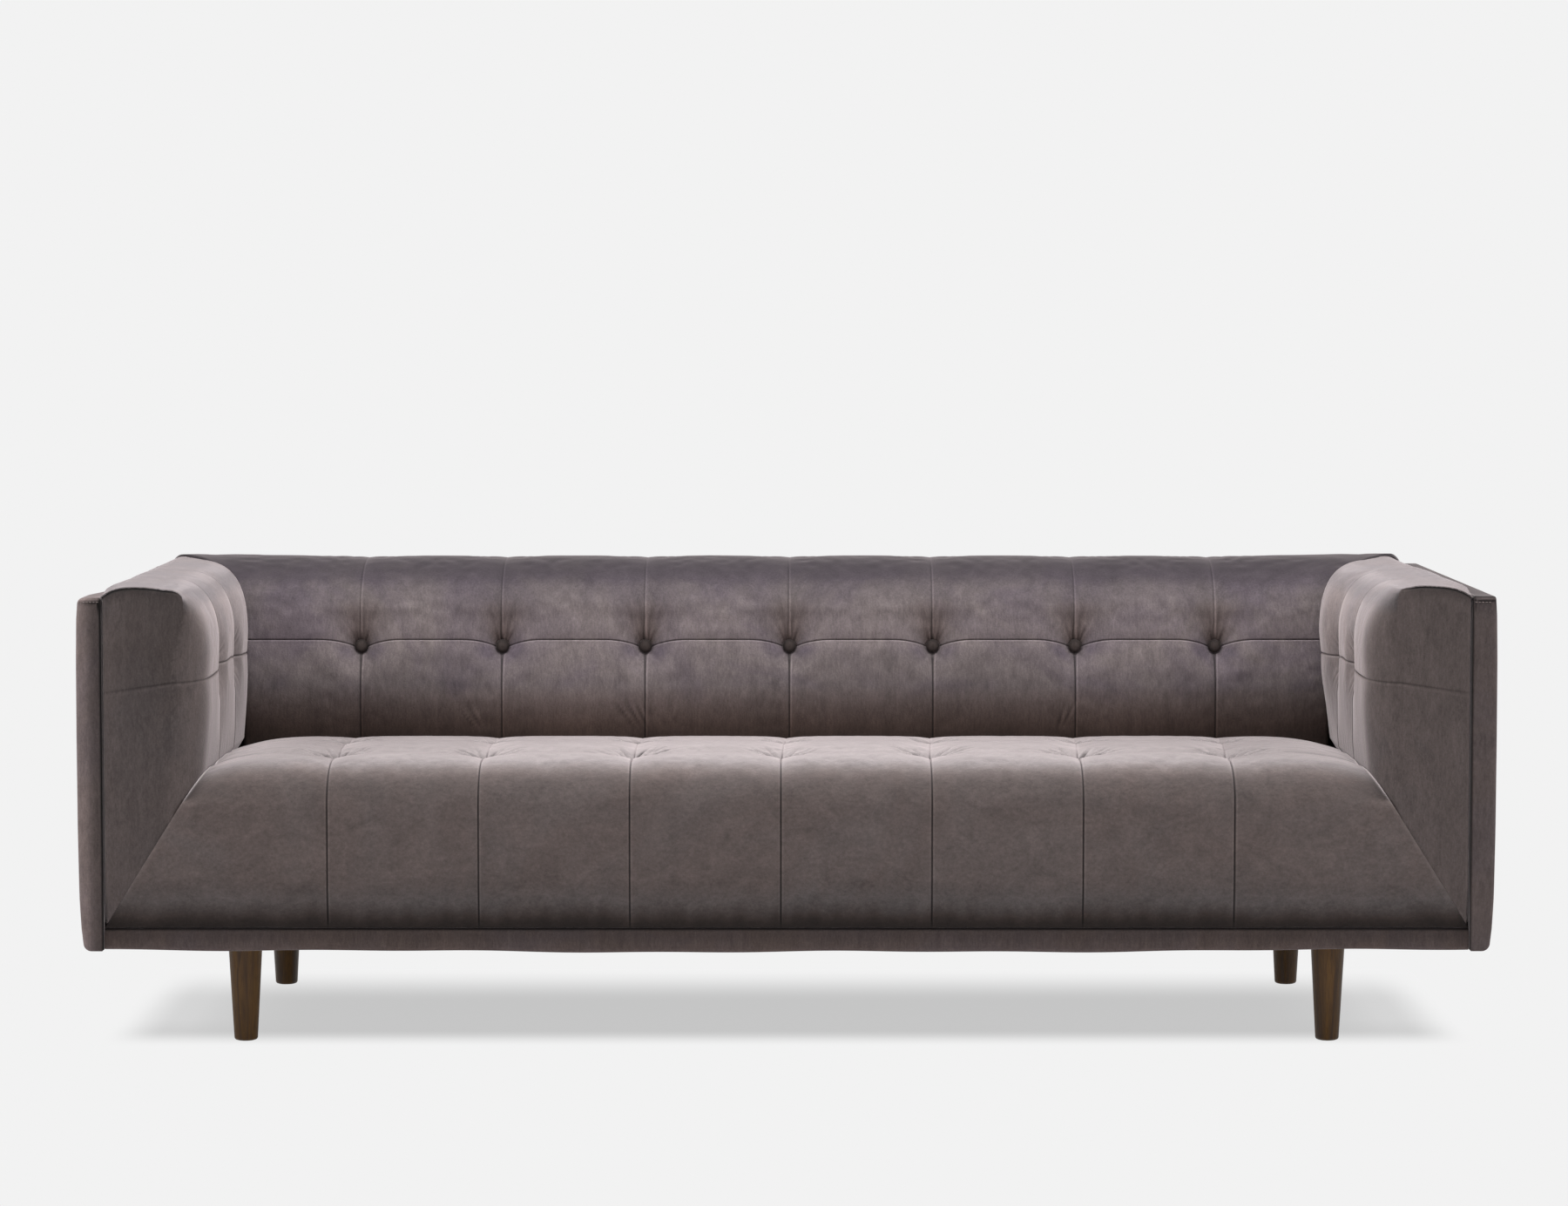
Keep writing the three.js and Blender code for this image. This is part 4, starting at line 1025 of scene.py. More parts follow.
    # Warm tint towards the seat and in the fans, with their painted shade, and a brushed tint along the top.
    lay_and_light_tint = np.interp(z, (0.46, 0.53, 0.66, 0.694, 0.712), (-1, 0, 0, 0.3, 0.85)) + beside_button - warm
    cloth = velvet("back_velvet", (0.16, 0.133, 0.133), brushed=(0.108, 0.087, 0.103), patch_size=4.2,
                   patch_strength=0.75, stroke_size=(60, 60, 17), sheen=0.5)
    # The rear edge is turned down behind the outer panel.
    hem = points[:1] - np.array([0, 0, 0.014])
    mesh = joined_sheets("tufted_back", [hemmed(hem, points, nap, lay_and_light_tint)], True)
    covered_pad("tufted_back", mesh, cloth, "back_pad")


back_pad()


# Arm pads: like the back, with two buttons each. The cover turns the front corner without a seam,
# and at the top of the arm's front it is folded under the cover of the top.
ARM_SEAM_Z = 0.592
ARM_CORNER_ROUND = 0.085
FRONT_SHADE = 0.68


def arm_seam_z(d):
    """Height of the seam, which sags towards both ends of the arm."""
    places = (0, 0.06, 0.14, 0.2, 0.254, 0.36, 0.454, 0.6)
    return np.interp(d, places, (0.584, 0.586, 0.586, 0.588, 0.592, 0.596, 0.589, 0.586))


def arm_pad(name, side, node, seed):
    section, run = upright_section(
        thickness=0.151, lean=-0.01, bulge=0.003, crest_in=0.068, crest_up=0.017, shoulder=0.109, power=2.6, foot_z=0.33
    )
    seam_s = np.interp(-ARM_SEAM_Z, -section[60:, 1], run[60:])
    corner_s = np.interp(-SEAT_CORNER_Z, -section[60:, 1], run[60:])
    round_r, face_d, plain_d = ARM_CORNER_ROUND, PAD_FRONT_D, 0.52
    # The right arm's top was stuffed a little fuller than the left's, and its fold ends sooner.
    if side < 0:
        fold_t, edge_up, top_light = 0.130, 0.009, 1.08
        rise_at = (0, 0.0157, 0.0335, 0.0686, 0.097, 0.113, 0.1215, 0.1303)
        rise_by = (0.0015, 0.001, 0.0007, -0.0004, -0.0017, 0.0015, 0.0022, -0.0009)
    else:
        fold_t, edge_up, top_light = 0.115, 0.0115, 1.18
        rise_at = (0, 0.0157, 0.0379, 0.06, 0.0813, 0.0987, 0.113, 0.13)
        rise_by = (0.0015, 0.0003, 0.0008, 0.0018, 0.0028, 0.0025, 0.0042, 0.001)
    fold_s = np.interp(fold_t, section[:70, 0], run[:70])
    mitre_fall = (SEAT_CORNER_Z - PAD_FOOT_Z) / (PAD_OUTER_X - ARM_INNER_X)

    def inner(s, d):
        """Arm from where the front's round begins, back to the mitre with the back pad."""
        turn = np.clip((d - face_d) / round_r, 0, 1)[None]
        narrow = np.interp(s, (fold_s - 0.004, fold_s + 0.04, fold_s + 0.1, corner_s), (0, 0.026, 0.05, 0.048))
        inset = narrow[:, None] * (1 - np.sqrt(np.clip(1 - (1 - turn) ** 2, 0, 1)))
        below = np.clip((s - seam_s) / (corner_s - seam_s), 0, None)[:, None]
        t, z = at_length(section, run, s[:, None] + below * inset * mitre_fall)
        held = (1 - smoothstep(np.abs(s - seam_s), 0.02, 0.14))[:, None]
        z = z + held * (arm_seam_z(d) - ARM_SEAM_Z)[None]
        # The top stands up a little behind the fold along the front.
        lift = np.interp(t, rise_at, rise_by) * (1 - smoothstep(d, 0.03, 0.25))[None]
        over = (1 - smoothstep(s, fold_s, fold_s + 0.03))[:, None]
        z = z + over * (lift - 0.0013 * np.clip(1 - turn / 0.09, 0, 1) ** 2)
        edge = np.interp(t, (0, 0.012, 0.04, 0.068), (edge_up, 0.83 * edge_up, 0.22 * edge_up, 0)) * (z > 0.7)
        z = z + edge * smoothstep(d, 0.006, 0.075)[None]
        t = t - inset
        x = SHELL_INNER_X - t
        end = SEAT_DEPTH + (x - ARM_INNER_X) * (BACK_INNER_D - SEAT_DEPTH) / (PAD_OUTER_X - ARM_INNER_X)
        # The right arm's last panel is filled fuller towards the top.
        if side > 0:
            fuller = np.interp(z, (0.44, 0.5, 0.56, 0.62, 0.72), (-0.003, 0, 0.006, 0.009, 0.01))
            x = x - fuller * smoothstep(d, 0.45, 0.56)[None]
        beyond = np.clip((d - plain_d) / (SEAT_DEPTH - plain_d), 0, 1)[None]
        deep = np.where(beyond > 0, plain_d + (end - MITRE_GAP - plain_d) * beyond, d[None])
        return np.stack([x, SOFA_FRONT + deep, z], axis=2)

    def broad(s, d):
        v = (s - seam_s)[:, None]
        u = np.min(np.abs(d[:, None] - ARM_TUFT_DS), axis=1)[None]
        top = 0.15 + 0.85 * smoothstep(s, 0.08, 0.2)[:, None]
        foot = 1 - smoothstep(s, corner_s - 0.09, corner_s - 0.01)[:, None]
        after = smoothstep(d, 0.02, 0.08)[None]
        upper = 1 - smoothstep(v, -0.01, 0.06)
        seams = np.maximum(crease(u, 0.0045 + 0.004 * upper, 0.09) * top * foot, crease(v, 0.002, 0.05) * after)
        return (seams + crease(np.hypot(u, v), 0.018, 0.07)) * (0.2 + 0.8 * after)

    # Rows run over the top and down the inner face; the fold along the front's top ends at fold_s.
    s_top = np.array([0, 0.0008, 0.0018, 0.003, 0.0045, 0.0065, 0.009, 0.0125, *np.linspace(0.017, fold_s, 30)])
    s_down = spaced([seam_s], SEAM_STEPS, fold_s, corner_s, WIDEST_STEP)
    s_fine = np.concatenate([s_top[:-1], s_down])
    round_shares = np.array([0, 0.01, 0.025, 0.05, 0.09, 0.14, 0.2, 0.27, 0.35, 0.44, 0.54, 0.65, 0.77, 0.9, 1])
    behind = spaced(ARM_TUFT_DS, SEAM_STEPS, face_d + round_r + 0.006, SEAT_DEPTH, WIDEST_STEP)
    d_fine = np.concatenate([face_d + round_r * round_shares, behind])
    s_rough = parts((0, seam_s, 21), (seam_s, corner_s, 15))
    d_rough = parts((face_d + round_r, ARM_TUFT_DS[0], 17), (*ARM_TUFT_DS, 16), (ARM_TUFT_DS[1], SEAT_DEPTH, 12))
    start = inner(s_rough, d_rough)
    start = start - grid_normals(start) * broad(s_rough, d_rough)[..., None]
    # Near the front's round, the seam lies loose.
    pinned = sewn_points(s_rough, d_rough, [seam_s], ARM_TUFT_DS)
    pinned[1:-1, 1:3] = False
    puff = puff_cover(start, pinned, pressure=1.2, slack=0.001, cap=0.0015)

    points = inner(s_fine, d_fine)
    height = points[..., 2]
    normal = grid_normals(points)
    depth = broad(s_fine, d_fine)
    nap = np.zeros(depth.shape)
    v = (seam_s - s_fine)[:, None] + 0 * d_fine[None]
    for i, tuft in enumerate(ARM_TUFT_DS):
        u = d_fine[None] - tuft + 0 * v
        close = (np.abs(u) < 0.1) & (np.abs(v) < 0.11)
        angles = (34, 62, 118, 146, 242, 262, 284, 304)
        folds, shade = tuft_relief(u, v, angles, seed + i, longest=0.055, deep=0.0012, dark=0.3)
        depth += folds * close
        nap += shade * close
        # Painted shade in a fan above each button and round it, and painted light below it, where the dimple faces up.
        nap -= 0.35 * fan_of_shade(u, v, 0.014, 0.45, 0.03) + 0.3 * bell(u, 0.02) * bell(v - 0.006, 0.02)
        nap += 0.3 * bell(u - 0.012, 0.03) * bell(v + 0.03, 0.022)
        groove, shade = seam_relief(u)
        far = 1 - bell(np.hypot(u, v), 0.012)
        lower = smoothstep(s_fine, 0.13, 0.2)[:, None]
        depth += groove * far * (0.3 + 0.7 * lower)
        nap += np.minimum(shade, 0.08) * far * (0.12 + 0.88 * lower)
    groove, shade = seam_relief(v, -1)
    after = (0.45 + 0.55 * smoothstep(d_fine, 0.03, 0.09))[None]
    depth += groove * after
    nap += shade * after
    moved = resample(puff, s_rough, d_rough, s_fine, np.clip(d_fine, face_d + round_r, None))
    moved = 0.4 * moved * smoothstep(d_fine, 0.03, 0.1)[None, :, None]
    points = points + moved - normal * depth[..., None]
    # The lower edge is turned in along the mitre, behind the seat's end.
    tuck = mitre_tuck(-normal[-1])
    hem = np.stack([points[-1] + tuck * reach for reach in (0.004, 0.012, 0.026, 0.045)])
    points = np.concatenate([points, hem])
    height = np.concatenate([height, hem[..., 2]])
    # Painted light by height: darker towards the seat, lighter up the inner face and on the top, more so on the right
    # arm.
    shading = by_height(
        height,
        ((0.43, 0.6), (0.453, 0.69), (0.4725, 0.73), (0.492, 0.78), (0.532, 0.87), (0.5515, 0.94), (0.571, 1.13)),
        ((0.61, 1.55), (0.69, 1.6), (0.709, 1.44 * top_light), (0.75, 1.32 * top_light)),
    )
    if side > 0:
        shading *= np.interp(height, (0.57, 0.61, 0.67, 0.7), (1, 1.08, 1.08, 1))
    # The tucked hem is painted dark as shade.
    nap = np.concatenate([nap, np.full((4, nap.shape[1]), -0.5)])
    # The front is painted darker than the inner face as shade, with a painted gradient over the turned corner between
    # the two.
    row_s = np.concatenate([s_fine, np.full(4, corner_s)])
    reach = np.interp(row_s, (fold_s, seam_s, corner_s), (0.09, 0.26, 0.3))
    corner_share = 1 - smoothstep((d_fine - face_d)[None] / reach[:, None], 0, 0.9)
    corner_share *= smoothstep(row_s, fold_s - 0.002, fold_s + 0.01)[:, None]
    nap = (1 + nap) * (shading + (FRONT_SHADE - shading) * corner_share) - 1
    # Tints with the painted light: a brushed one on the top, a warm one on the front.
    lay_and_light_tint = -0.15 * corner_share + 0.6 * smoothstep(height, 0.69, 0.712)

    # Front of the arm: a flat panel between the outer panel, the fold, the turned corner and the mitre.
    ring = points[: len(s_fine), 0]
    count = len(s_top)
    fold, corner = ring[:count], ring[count - 1 :]
    drops = np.interp(s_down, (fold_s, seam_s, corner_s), (SHELL_TOP - 0.0012, 0.5685, 0.1983))
    shell_side = np.stack([np.full(len(drops), PAD_OUTER_X), np.full(len(drops), ring[0, 1]), drops], axis=1)
    shell_side[0] = fold[0]
    across = (s_top / fold_s)[None, :, None]
    down = ((s_down - fold_s) / (corner_s - fold_s))[:, None, None]
    # The fold's rise above a straight line dies away a little below it.
    chord = fold[0] + (fold[-1] - fold[0]) * across[0]
    fold = chord[None] + (fold - chord)[None] * (1 - smoothstep(down, 0, 0.3)) / np.maximum(1 - down, 1e-6)
    face = (
        (1 - down) * fold
        + down * (shell_side[-1] + (corner[-1] - shell_side[-1]) * across)
        + (1 - across) * shell_side[:, None]
        + across * corner[:, None]
        - (1 - down) * chord[None]
        - down * ((1 - across) * shell_side[-1] + across * corner[-1])
    )
    # Closer rows just under the fold, for the crevice below it.
    first = face[1] - face[0]
    length = np.maximum(np.linalg.norm(first[:, [0, 2]], axis=1, keepdims=True), 1e-6)
    tiers = (0.0004, 0.001, 0.0019, 0.0032)
    extra = [face[0] + first * np.minimum(tier / length, 0.15 + 0.17 * i) for i, tier in enumerate(tiers)]
    face = np.concatenate([face[:1], extra, face[1:]])
    rows_s = np.concatenate([np.full(len(extra), fold_s), s_down])
    under = np.linalg.norm((face - face[:1])[..., [0, 2]], axis=2)
    closing = 1 - smoothstep(across[..., 0], 0.76, 0.98)
    in_x = SHELL_INNER_X - face[..., 0]
    low = set_back(face[..., 2])
    near_mitre = smoothstep(rows_s, fold_s + 0.7 * (corner_s - fold_s), corner_s)[:, None]
    swell = 0.0025 * np.sin(np.pi * across[..., 0]) * (1 - near_mitre)
    begun = smoothstep(under, 0, 0.004)
    crevice = np.interp(under, (0, *tiers), (0, 0.0016, 0.0034, 0.0022, 0)) * closing
    face[..., 1] += crevice + begun * (low - swell + 0.02 * np.clip(1 - in_x / 0.0042, 0, 1) ** 1.3)
    # Painted shadow in the crevice under the fold, a painted black gap beside the outer panel with a thin painted
    # highlight, painted shade in the mitre's crease along the last row, and painted light and shade along the seam.
    face_nap_and_shade = -0.88 * np.interp(under, (0, 0.0002, 0.003, 0.0046, 0.02), (0.8, 1.04, 1.04, 0.35, 0)) * closing
    face_nap_and_shade -= 0.97 * (1 - smoothstep(in_x, 0.0018, 0.0036)) - 0.15 * bell(in_x - 0.006, 0.0014)
    face_nap_and_shade[-1] -= np.interp(face[-1, :, 2], (0.28, 0.38), (0, 0.4))
    _, seam_shade = seam_relief((seam_s - rows_s)[:, None] + 0 * across[..., 0], -1)
    face_nap_and_shade += seam_shade * (0.3 + 0.3 * across[..., 0])
    face[:, -1] = np.concatenate([corner[:1], np.repeat(corner[:1], len(extra), axis=0), corner[1:]])
    hem = np.stack([face[-1] + np.array([0, reach, 0]) for reach in (0.004, 0.012, 0.026)])
    face = np.concatenate([face, hem])
    # Painted shade across the fronts: the left one darker towards the inside, the right one towards the outside.
    shades = (1.02, 1, 0.84, 0.76, 0.76) if side < 0 else (1, 1, 1, 1.06, 1.1)
    toward = np.interp(across[..., 0], (0, 0.15, 0.45, 0.8, 1), shades)
    toward = 1 + (toward - 1) * (0.5 + 0.5 * smoothstep(face[: len(face_nap_and_shade), :, 2], 0.45, 0.6))
    face_nap_and_shade = np.concatenate([(1 + face_nap_and_shade) * toward, np.full((3, face_nap_and_shade.shape[1]), 0.5)]) * FRONT_SHADE - 1

    cloth = velvet(name + "_velvet", (0.122, 0.1, 0.097), brushed=(0.097, 0.087, 0.091), patch_size=4.5,
                   patch_strength=0.5, stroke_size=(60, 40, 18), sheen=0.6)
    # The outer edge is turned down inside the outer panel.
    hem = points[:1].copy()
    hem[..., 2] -= 0.0005 + 0.018 * smoothstep(d_fine, 0.012, 0.05)
    sheets = [hemmed(hem, points, nap, lay_and_light_tint), (face, face_nap_and_shade, np.full(face_nap_and_shade.shape, -0.15))]
    for sheet in sheets:
        sheet[0][..., 0] *= side
    covered_pad(name, joined_sheets(name, sheets, side < 0), cloth, node, 0.0015)


arm_pad("tufted_arm_left", -1, "arm_pad_left", 40)
arm_pad("tufted_arm_right", 1, "arm_pad_right", 50)


# Seat: one foam bench over the felt, in a velvet cover of panels that follow the back's. Two rows of
# hidden ties pull it down, and its front runs on down to the band, mitred to the arms' fronts.
SEAT_CROWN_Z = 0.458
SEAT_FRONT_ROUND = 0.095
TIE_DS = np.array([0.191, 0.418])


def pleat(u, v, start, end):
    """Strength of one short pleat, which is sharpest where it starts."""
    way = np.subtract(end, start)
    along = ((u - start[0]) * way[0] + (v - start[1]) * way[1]) / (way @ way)
    off = ((u - start[0]) * way[1] - (v - start[1]) * way[0]) / np.linalg.norm(way)
    run = smoothstep(along, -0.15, 0.1) * (1 - smoothstep(along, 0.6, 1.1))
    return run * bell(off, 0.003)


def seat():
    crown, front_d, low_z = SEAT_CROWN_Z, PAD_FRONT_D, PAD_FOOT_Z
    # The panels were cut a little narrow and sit to the left; towards the back the seams fan out.
    sewn_xs = 0.9785 * TUFT_XS - 0.0092

    # The section runs from the rear over the top, round the brow, down the front and in above the band.
    ds = np.linspace(SEAT_DEPTH - 0.0006, front_d + SEAT_FRONT_ROUND, 90)
    top = np.stack([ds, crown - 0.018 * np.clip(2 * ds / SEAT_DEPTH - 1, 0, None) ** 2], axis=1)
    turn = np.radians(np.linspace(0, 90, 26))[1:]
    over = np.stack(
        [front_d + SEAT_FRONT_ROUND * (1 - np.sin(turn)), SEAT_BROW_Z + (crown - SEAT_BROW_Z) * np.cos(turn)], axis=1
    )
    heights = np.concatenate([np.linspace(SEAT_BROW_Z, low_z + 0.004, 40)[1:], [low_z + 0.0024, low_z + 0.0009]])
    face = np.stack([front_d + set_back(heights), heights], axis=1)
    curl = [[front_d + 0.0098, low_z + 0.0003], [front_d + 0.014, low_z + 0.0001], [front_d + 0.024, low_z]]
    section = np.concatenate([top, over, face, curl])
    run = length_along(section)
    tie_s = np.sort(np.interp(-TIE_DS, -ds, run[:90]))
    brow_s, curl_s = run[90], run[-4]

    def surface(s, x):
        d, z = at_length(section, run, s[:, None] + 0 * x[None])
        beyond = np.clip((np.abs(x) - LAST_PLAIN_X) / (ARM_INNER_X - LAST_PLAIN_X), 0, 1)[None]
        z = z - 0.020 * beyond**2.6 * smoothstep(z, 0.36, 0.44)
        slope = (PAD_OUTER_X - ARM_INNER_X) / (SEAT_CORNER_Z - low_z)
        end = PAD_OUTER_X - (np.clip(z, low_z, SEAT_CORNER_Z) - low_z) * slope - 0.0001
        aside = moved_tufts(x, sewn_xs - TUFT_XS)[None] * (1 - smoothstep(d, 0.05, 0.62))
        return np.stack([np.sign(x)[None] * mitred(x, end) + aside, SOFA_FRONT + d, z], axis=2)

    def broad(s, x):
        u = off_tuft(x)[None]
        v = np.min(np.abs(s[:, None] - tie_s), axis=1)[:, None]
        front = smoothstep(s, brow_s, brow_s + 0.12)[:, None]
        rear = smoothstep(s, 0, 0.1)[:, None]
        back = 1 - smoothstep(s, tie_s[0] - 0.03, tie_s[1] - 0.07)[:, None]
        seams = crease(u, 0.0045, 0.06) * (1 - 0.8 * front) * (0.6 + 0.4 * rear) * (1 - 0.6 * back)
        return np.maximum(seams, crease(v, 0.004, 0.06)) + crease(np.hypot(u, v), 0.02, 0.082) * (1 - 0.5 * back)

    s_even = spaced(tie_s, SEAM_STEPS, 0, run[-1], WIDEST_STEP)
    s_fine = np.union1d(s_even, curl_s + np.array([-0.003, -0.001, 0, 0.0006]))
    s_rough = parts((0, tie_s[0], 12), (*tie_s, 16), (tie_s[1], run[-1], 37))
    start = surface(s_rough, ROUGH_XS)
    start = start + grid_normals(start) * broad(s_rough, ROUGH_XS)[..., None]
    pinned = sewn_points(s_rough, ROUGH_XS, tie_s, TUFT_XS)
    puff = puff_cover(start[::-1], pinned[::-1], pressure=2.5, slack=0.004, cap=0.006)[::-1]
    full_at = (tie_s[0], tie_s[1] - 0.05, brow_s - 0.02, brow_s + 0.08)
    puff *= np.interp(s_rough, full_at, (0.5, 1, 1, 0.25))[:, None, None]

    points = surface(s_fine, FINE_XS)
    normal = -grid_normals(points)
    depth = broad(s_fine, FINE_XS)
    nap = np.zeros(depth.shape)
    # Sharp pleats where the front row's ties gather the cover, painted dark as shade with a painted highlight on the
    # lip: u, v of both ends, and how dark.
    rising, outer = ((0.0, -0.016), (0.021, -0.056), 2.1), ((0.034, -0.016), (0.06, -0.033), 1.4)
    left, across = ((-0.008, -0.016), (-0.05, -0.036), 1.1), ((-0.012, -0.066), (0.026, -0.07), 0.8)
    weak = ((0.002, -0.016), (0.017, -0.048), 1.3)
    pleats = ((left, weak), (weak, left), (rising, outer), (left, across), (left,), (weak, outer), (left, across))
    angles = (-62, -42, -24, 203, 222, 246, 22, 158)
    for row, tie in enumerate(tie_s):
        v = (s_fine - tie)[:, None] + 0 * FINE_XS[None]
        for i, tuft in enumerate(TUFT_XS):
            u = FINE_XS[None] - tuft + 0 * v
            close = (np.abs(u) < 0.1) & (np.abs(v) < 0.09)
            seed = 70 + 10 * row + i
            folds, shade = tuft_relief(u, v, angles, seed, longest=0.085, deep=0.0026, dark=0.24)
            depth += folds * close
            # Painted shade in each tie's dimple.
            nap += shade * close - 0.35 * bell(np.hypot(u, v + 0.01), 0.02)
            for near, far, dark in pleats[i] if row else ():
                fold = pleat(u, v, near, far)
                lip = pleat(u - 0.006, v, near, far)
                nap += 0.25 * lip - 0.55 * dark * fold
                depth += 0.0024 * fold - 0.0014 * lip
        groove, shade = seam_relief(v)
        depth += groove * 0.5
        nap += shade * 0.25
    behind = 1 - 0.65 * (1 - smoothstep(s_fine, tie_s[1] - 0.07, tie_s[1] - 0.02))[:, None]
    in_front = smoothstep(s_fine, brow_s, brow_s + 0.03)[:, None]
    for tuft in TUFT_XS:
        u = FINE_XS[None] - tuft + 0 * depth
        groove, shade = seam_relief(u)
        depth += groove * behind
        nap += shade * behind
        # On the front the groove is painted dark as shade and its left lip light as a highlight.
        nap += (0.25 * bell(u + 0.0024, 0.0011) - 0.3 * bell(u, 0.0016)) * in_front
    # The cover lies flat where it turns in above the band.
    depth *= 1 - smoothstep(s_fine, curl_s - 0.014, curl_s - 0.004)[:, None]
    points = points + resample(puff, s_rough, ROUGH_XS, s_fine, FINE_XS) - normal * depth[..., None]
    z = points[..., 2]
    # Painted light on the top, fading round the brow, and painted shade down the front towards the band.
    wander = uneven_edge(1.7, (13.0, 31.0, 57.0, 118.0, 203.0))
    deep = points[..., 1] - SOFA_FRONT
    top = np.interp(
        deep + 0.0016 * wander * np.clip(deep / 0.02, 0, 1),
        (0.003, 0.0045, 0.0065, 0.012, 0.02, 0.031, 0.048, 0.06, 0.075, 0.1, 0.165, 0.3, 0.5),
        (0.98, 0.89, 0.83, 0.73, 0.73, 0.93, 1.4, 1.75, 2.07, 2.22, 2.27, 2.15, 2.0),
    )
    low = by_height(
        z + 0.003 * wander,
        ((0.2, 0.14), (0.209, 0.2), (0.2146, 0.3), (0.2254, 0.5), (0.2363, 0.7), (0.2471, 0.82)),
        ((0.2579, 0.81), (0.2687, 0.85), (0.2796, 0.91), (0.3228, 0.97), (0.36, 1)),
    )
    on_top = z > 0.398
    # Painted shade on the seat beside the arms.
    beside_arm = bell(ARM_INNER_X - np.abs(FINE_XS), 0.012)[None] * (z > 0.4)
    nap = (1 + nap) * np.where(on_top, top, low) * (1 - 0.55 * beside_arm) - 1
    # Tints that go with the painted light: the brushed colour on the lit top, and warm and brushed bands near the band.
    tint_near_band = by_height(z + 0.003 * wander, ((0.215, -0.35), (0.225, 0.1), (0.24, 0.5), (0.27, 0)))
    lay_and_light_tint = np.where(on_top, np.interp(deep, (0.03, 0.07), (0, 1)), tint_near_band)
    cloth = velvet("seat_velvet", (0.0985, 0.0765, 0.0715), brushed=(0.0985, 0.0873, 0.0872), patch_size=3.5,
                   patch_strength=0.3, stroke_size=(22, 40, 30), sheen=1.0, sheen_spread=0.38)
    mesh = joined_sheets("tufted_seat", [(points[::-1], nap[::-1], lay_and_light_tint[::-1])], False)
    covered_pad("tufted_seat", mesh, cloth, "seat_pad")


seat()


# Band along the foot of the front: a strip of padded board, covered in the same velvet.
BAND_ROUND = 0.009
BAND_SAG = 0.0045


def front_band():
    (left, front, low), (right, rear, high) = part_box("front_band")
    r = BAND_ROUND
    arc = np.radians(np.linspace(0, 90, 7))
    section = np.concatenate(
        [
            [[rear, low], [front + r * 2, low]],
            np.stack([front + r - r * np.sin(arc), low + r - r * np.cos(arc)], axis=1),
            np.stack([np.full(5, front), np.linspace(low + r, high - r, 7)[1:-1]], axis=1),
            np.stack([front + r - r * np.cos(arc), high - r + r * np.sin(arc)], axis=1),
            [[rear, high]],
        ]
    )
    xs = np.linspace(left, right, 240)
    wave = 0.0011 * np.sin(xs * 9.0 + 0.6) + 0.0008 * np.sin(xs * 23.0)
    sag = BAND_SAG * (1 - (xs / xs[-1]) ** 2)
    points = np.empty((len(xs), len(section), 3))
    points[..., 0] = xs[:, None]
    points[..., 1] = section[None, :, 0]
    lowness = np.clip((high - section[:, 1]) / (high - low), 0, 1)
    points[..., 2] = section[None, :, 1] - (sag - wave)[:, None] * lowness[None] ** 2
    # Painted shadow under the seat's edge, fading down the band, and a little painted shade along its lower edge.
    shades = (-0.9, -0.85, -0.5, -0.38, -0.19, -0.02, -0.3)
    nap = np.interp(lowness, (0, 0.04, 0.12, 0.5, 0.8, 0.95, 1), shades)[None] + 0 * points[..., 0]
    mesh = sheet_mesh("foot_band", points[:, ::-1], nap[:, ::-1], closed=True)
    upholstered("foot_band", mesh, velvet("band_velvet", (0.09, 0.066, 0.06), patch_strength=0.35), "front_band")


front_band()


# Outer back panel: a padded board covered in velvet, slipped on last and sewn down by hand.
BACK_PANEL_ROUND = 0.012
BACK_PANEL_EDGE = 0.009
BACK_PANEL_PUFF = 0.006


def back_panel():
    (left, front, low), (right, rear, high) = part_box("outer_back_panel")
    wide, tall, puff, edge = (right - left) / 2, (high - low) / 2, BACK_PANEL_PUFF, BACK_PANEL_EDGE
    middle = np.array([(left + right) / 2, (low + high) / 2])

    def loop(inset):
        """Rectangle with eased corners, the same number of points whatever its inset."""
        w, h = wide - inset, tall - inset
        r = max(BACK_PANEL_ROUND - inset, 0.001)
        quarters = ((1, 1, 0), (-1, 1, 90), (-1, -1, 180), (1, -1, 270))
        arcs = [arc_corner(sx * (w - r), sz * (h - r), r, start) for sx, sz, start in quarters]
        counts = (120, 30, 120, 30)
        runs = [np.linspace(arcs[i][-1], arcs[(i + 1) % 4][0], counts[i] + 2)[1:-1] for i in range(4)]
        return middle + np.concatenate([np.concatenate([arc, run]) for arc, run in zip(arcs, runs)])

    turn = np.radians(np.linspace(90, 0, 7))
    insets = np.concatenate([edge * (1 - np.sin(turn)), [0.014, 0.02], np.linspace(0.03, tall * 0.96, 14)])
    turns = np.concatenate([edge * (1 - np.cos(turn)), np.zeros(16)])
    backs = rear - puff - turns + puff * (1 - (1 - insets / tall) ** 3)
    rings = [(insets[-1], front)] + [(i, front) for i in (0.1, 0.02)] + [(0, front + 0.002)] + list(zip(insets, backs))
    points, nap = [], []
    for inset, y in rings:
        ring = loop(inset)
        points.append(np.stack([ring[:, 0], np.full(len(ring), y), ring[:, 1]], axis=1))
        # Painted shade in the round of the edge and towards the foot.
        dark = -0.5 * bell(inset - 0.002, 0.002) - 0.12 * np.clip(1 - (ring[:, 1] - low) / 0.2, 0, 1)
        nap.append(dark * np.ones(len(ring)))
    mesh = sheet_mesh("back_panel_cover", np.array(points), np.array(nap), closed=True)
    cloth = velvet(
        "back_panel_velvet", (0.11, 0.088, 0.084), patch_size=2.6, patch_strength=0.35, stroke_size=(24, 24, 30)
    )
    upholstered("back_panel_cover", mesh, cloth, "outer_back_panel")


back_panel()


# Buttons: steel shells covered in the same velvet, each pulled into its tuft by twine.
BUTTON_RADIUS = 0.0112
BUTTON_HEIGHT = 0.0045
ARM_BUTTON_SINK = 0.006


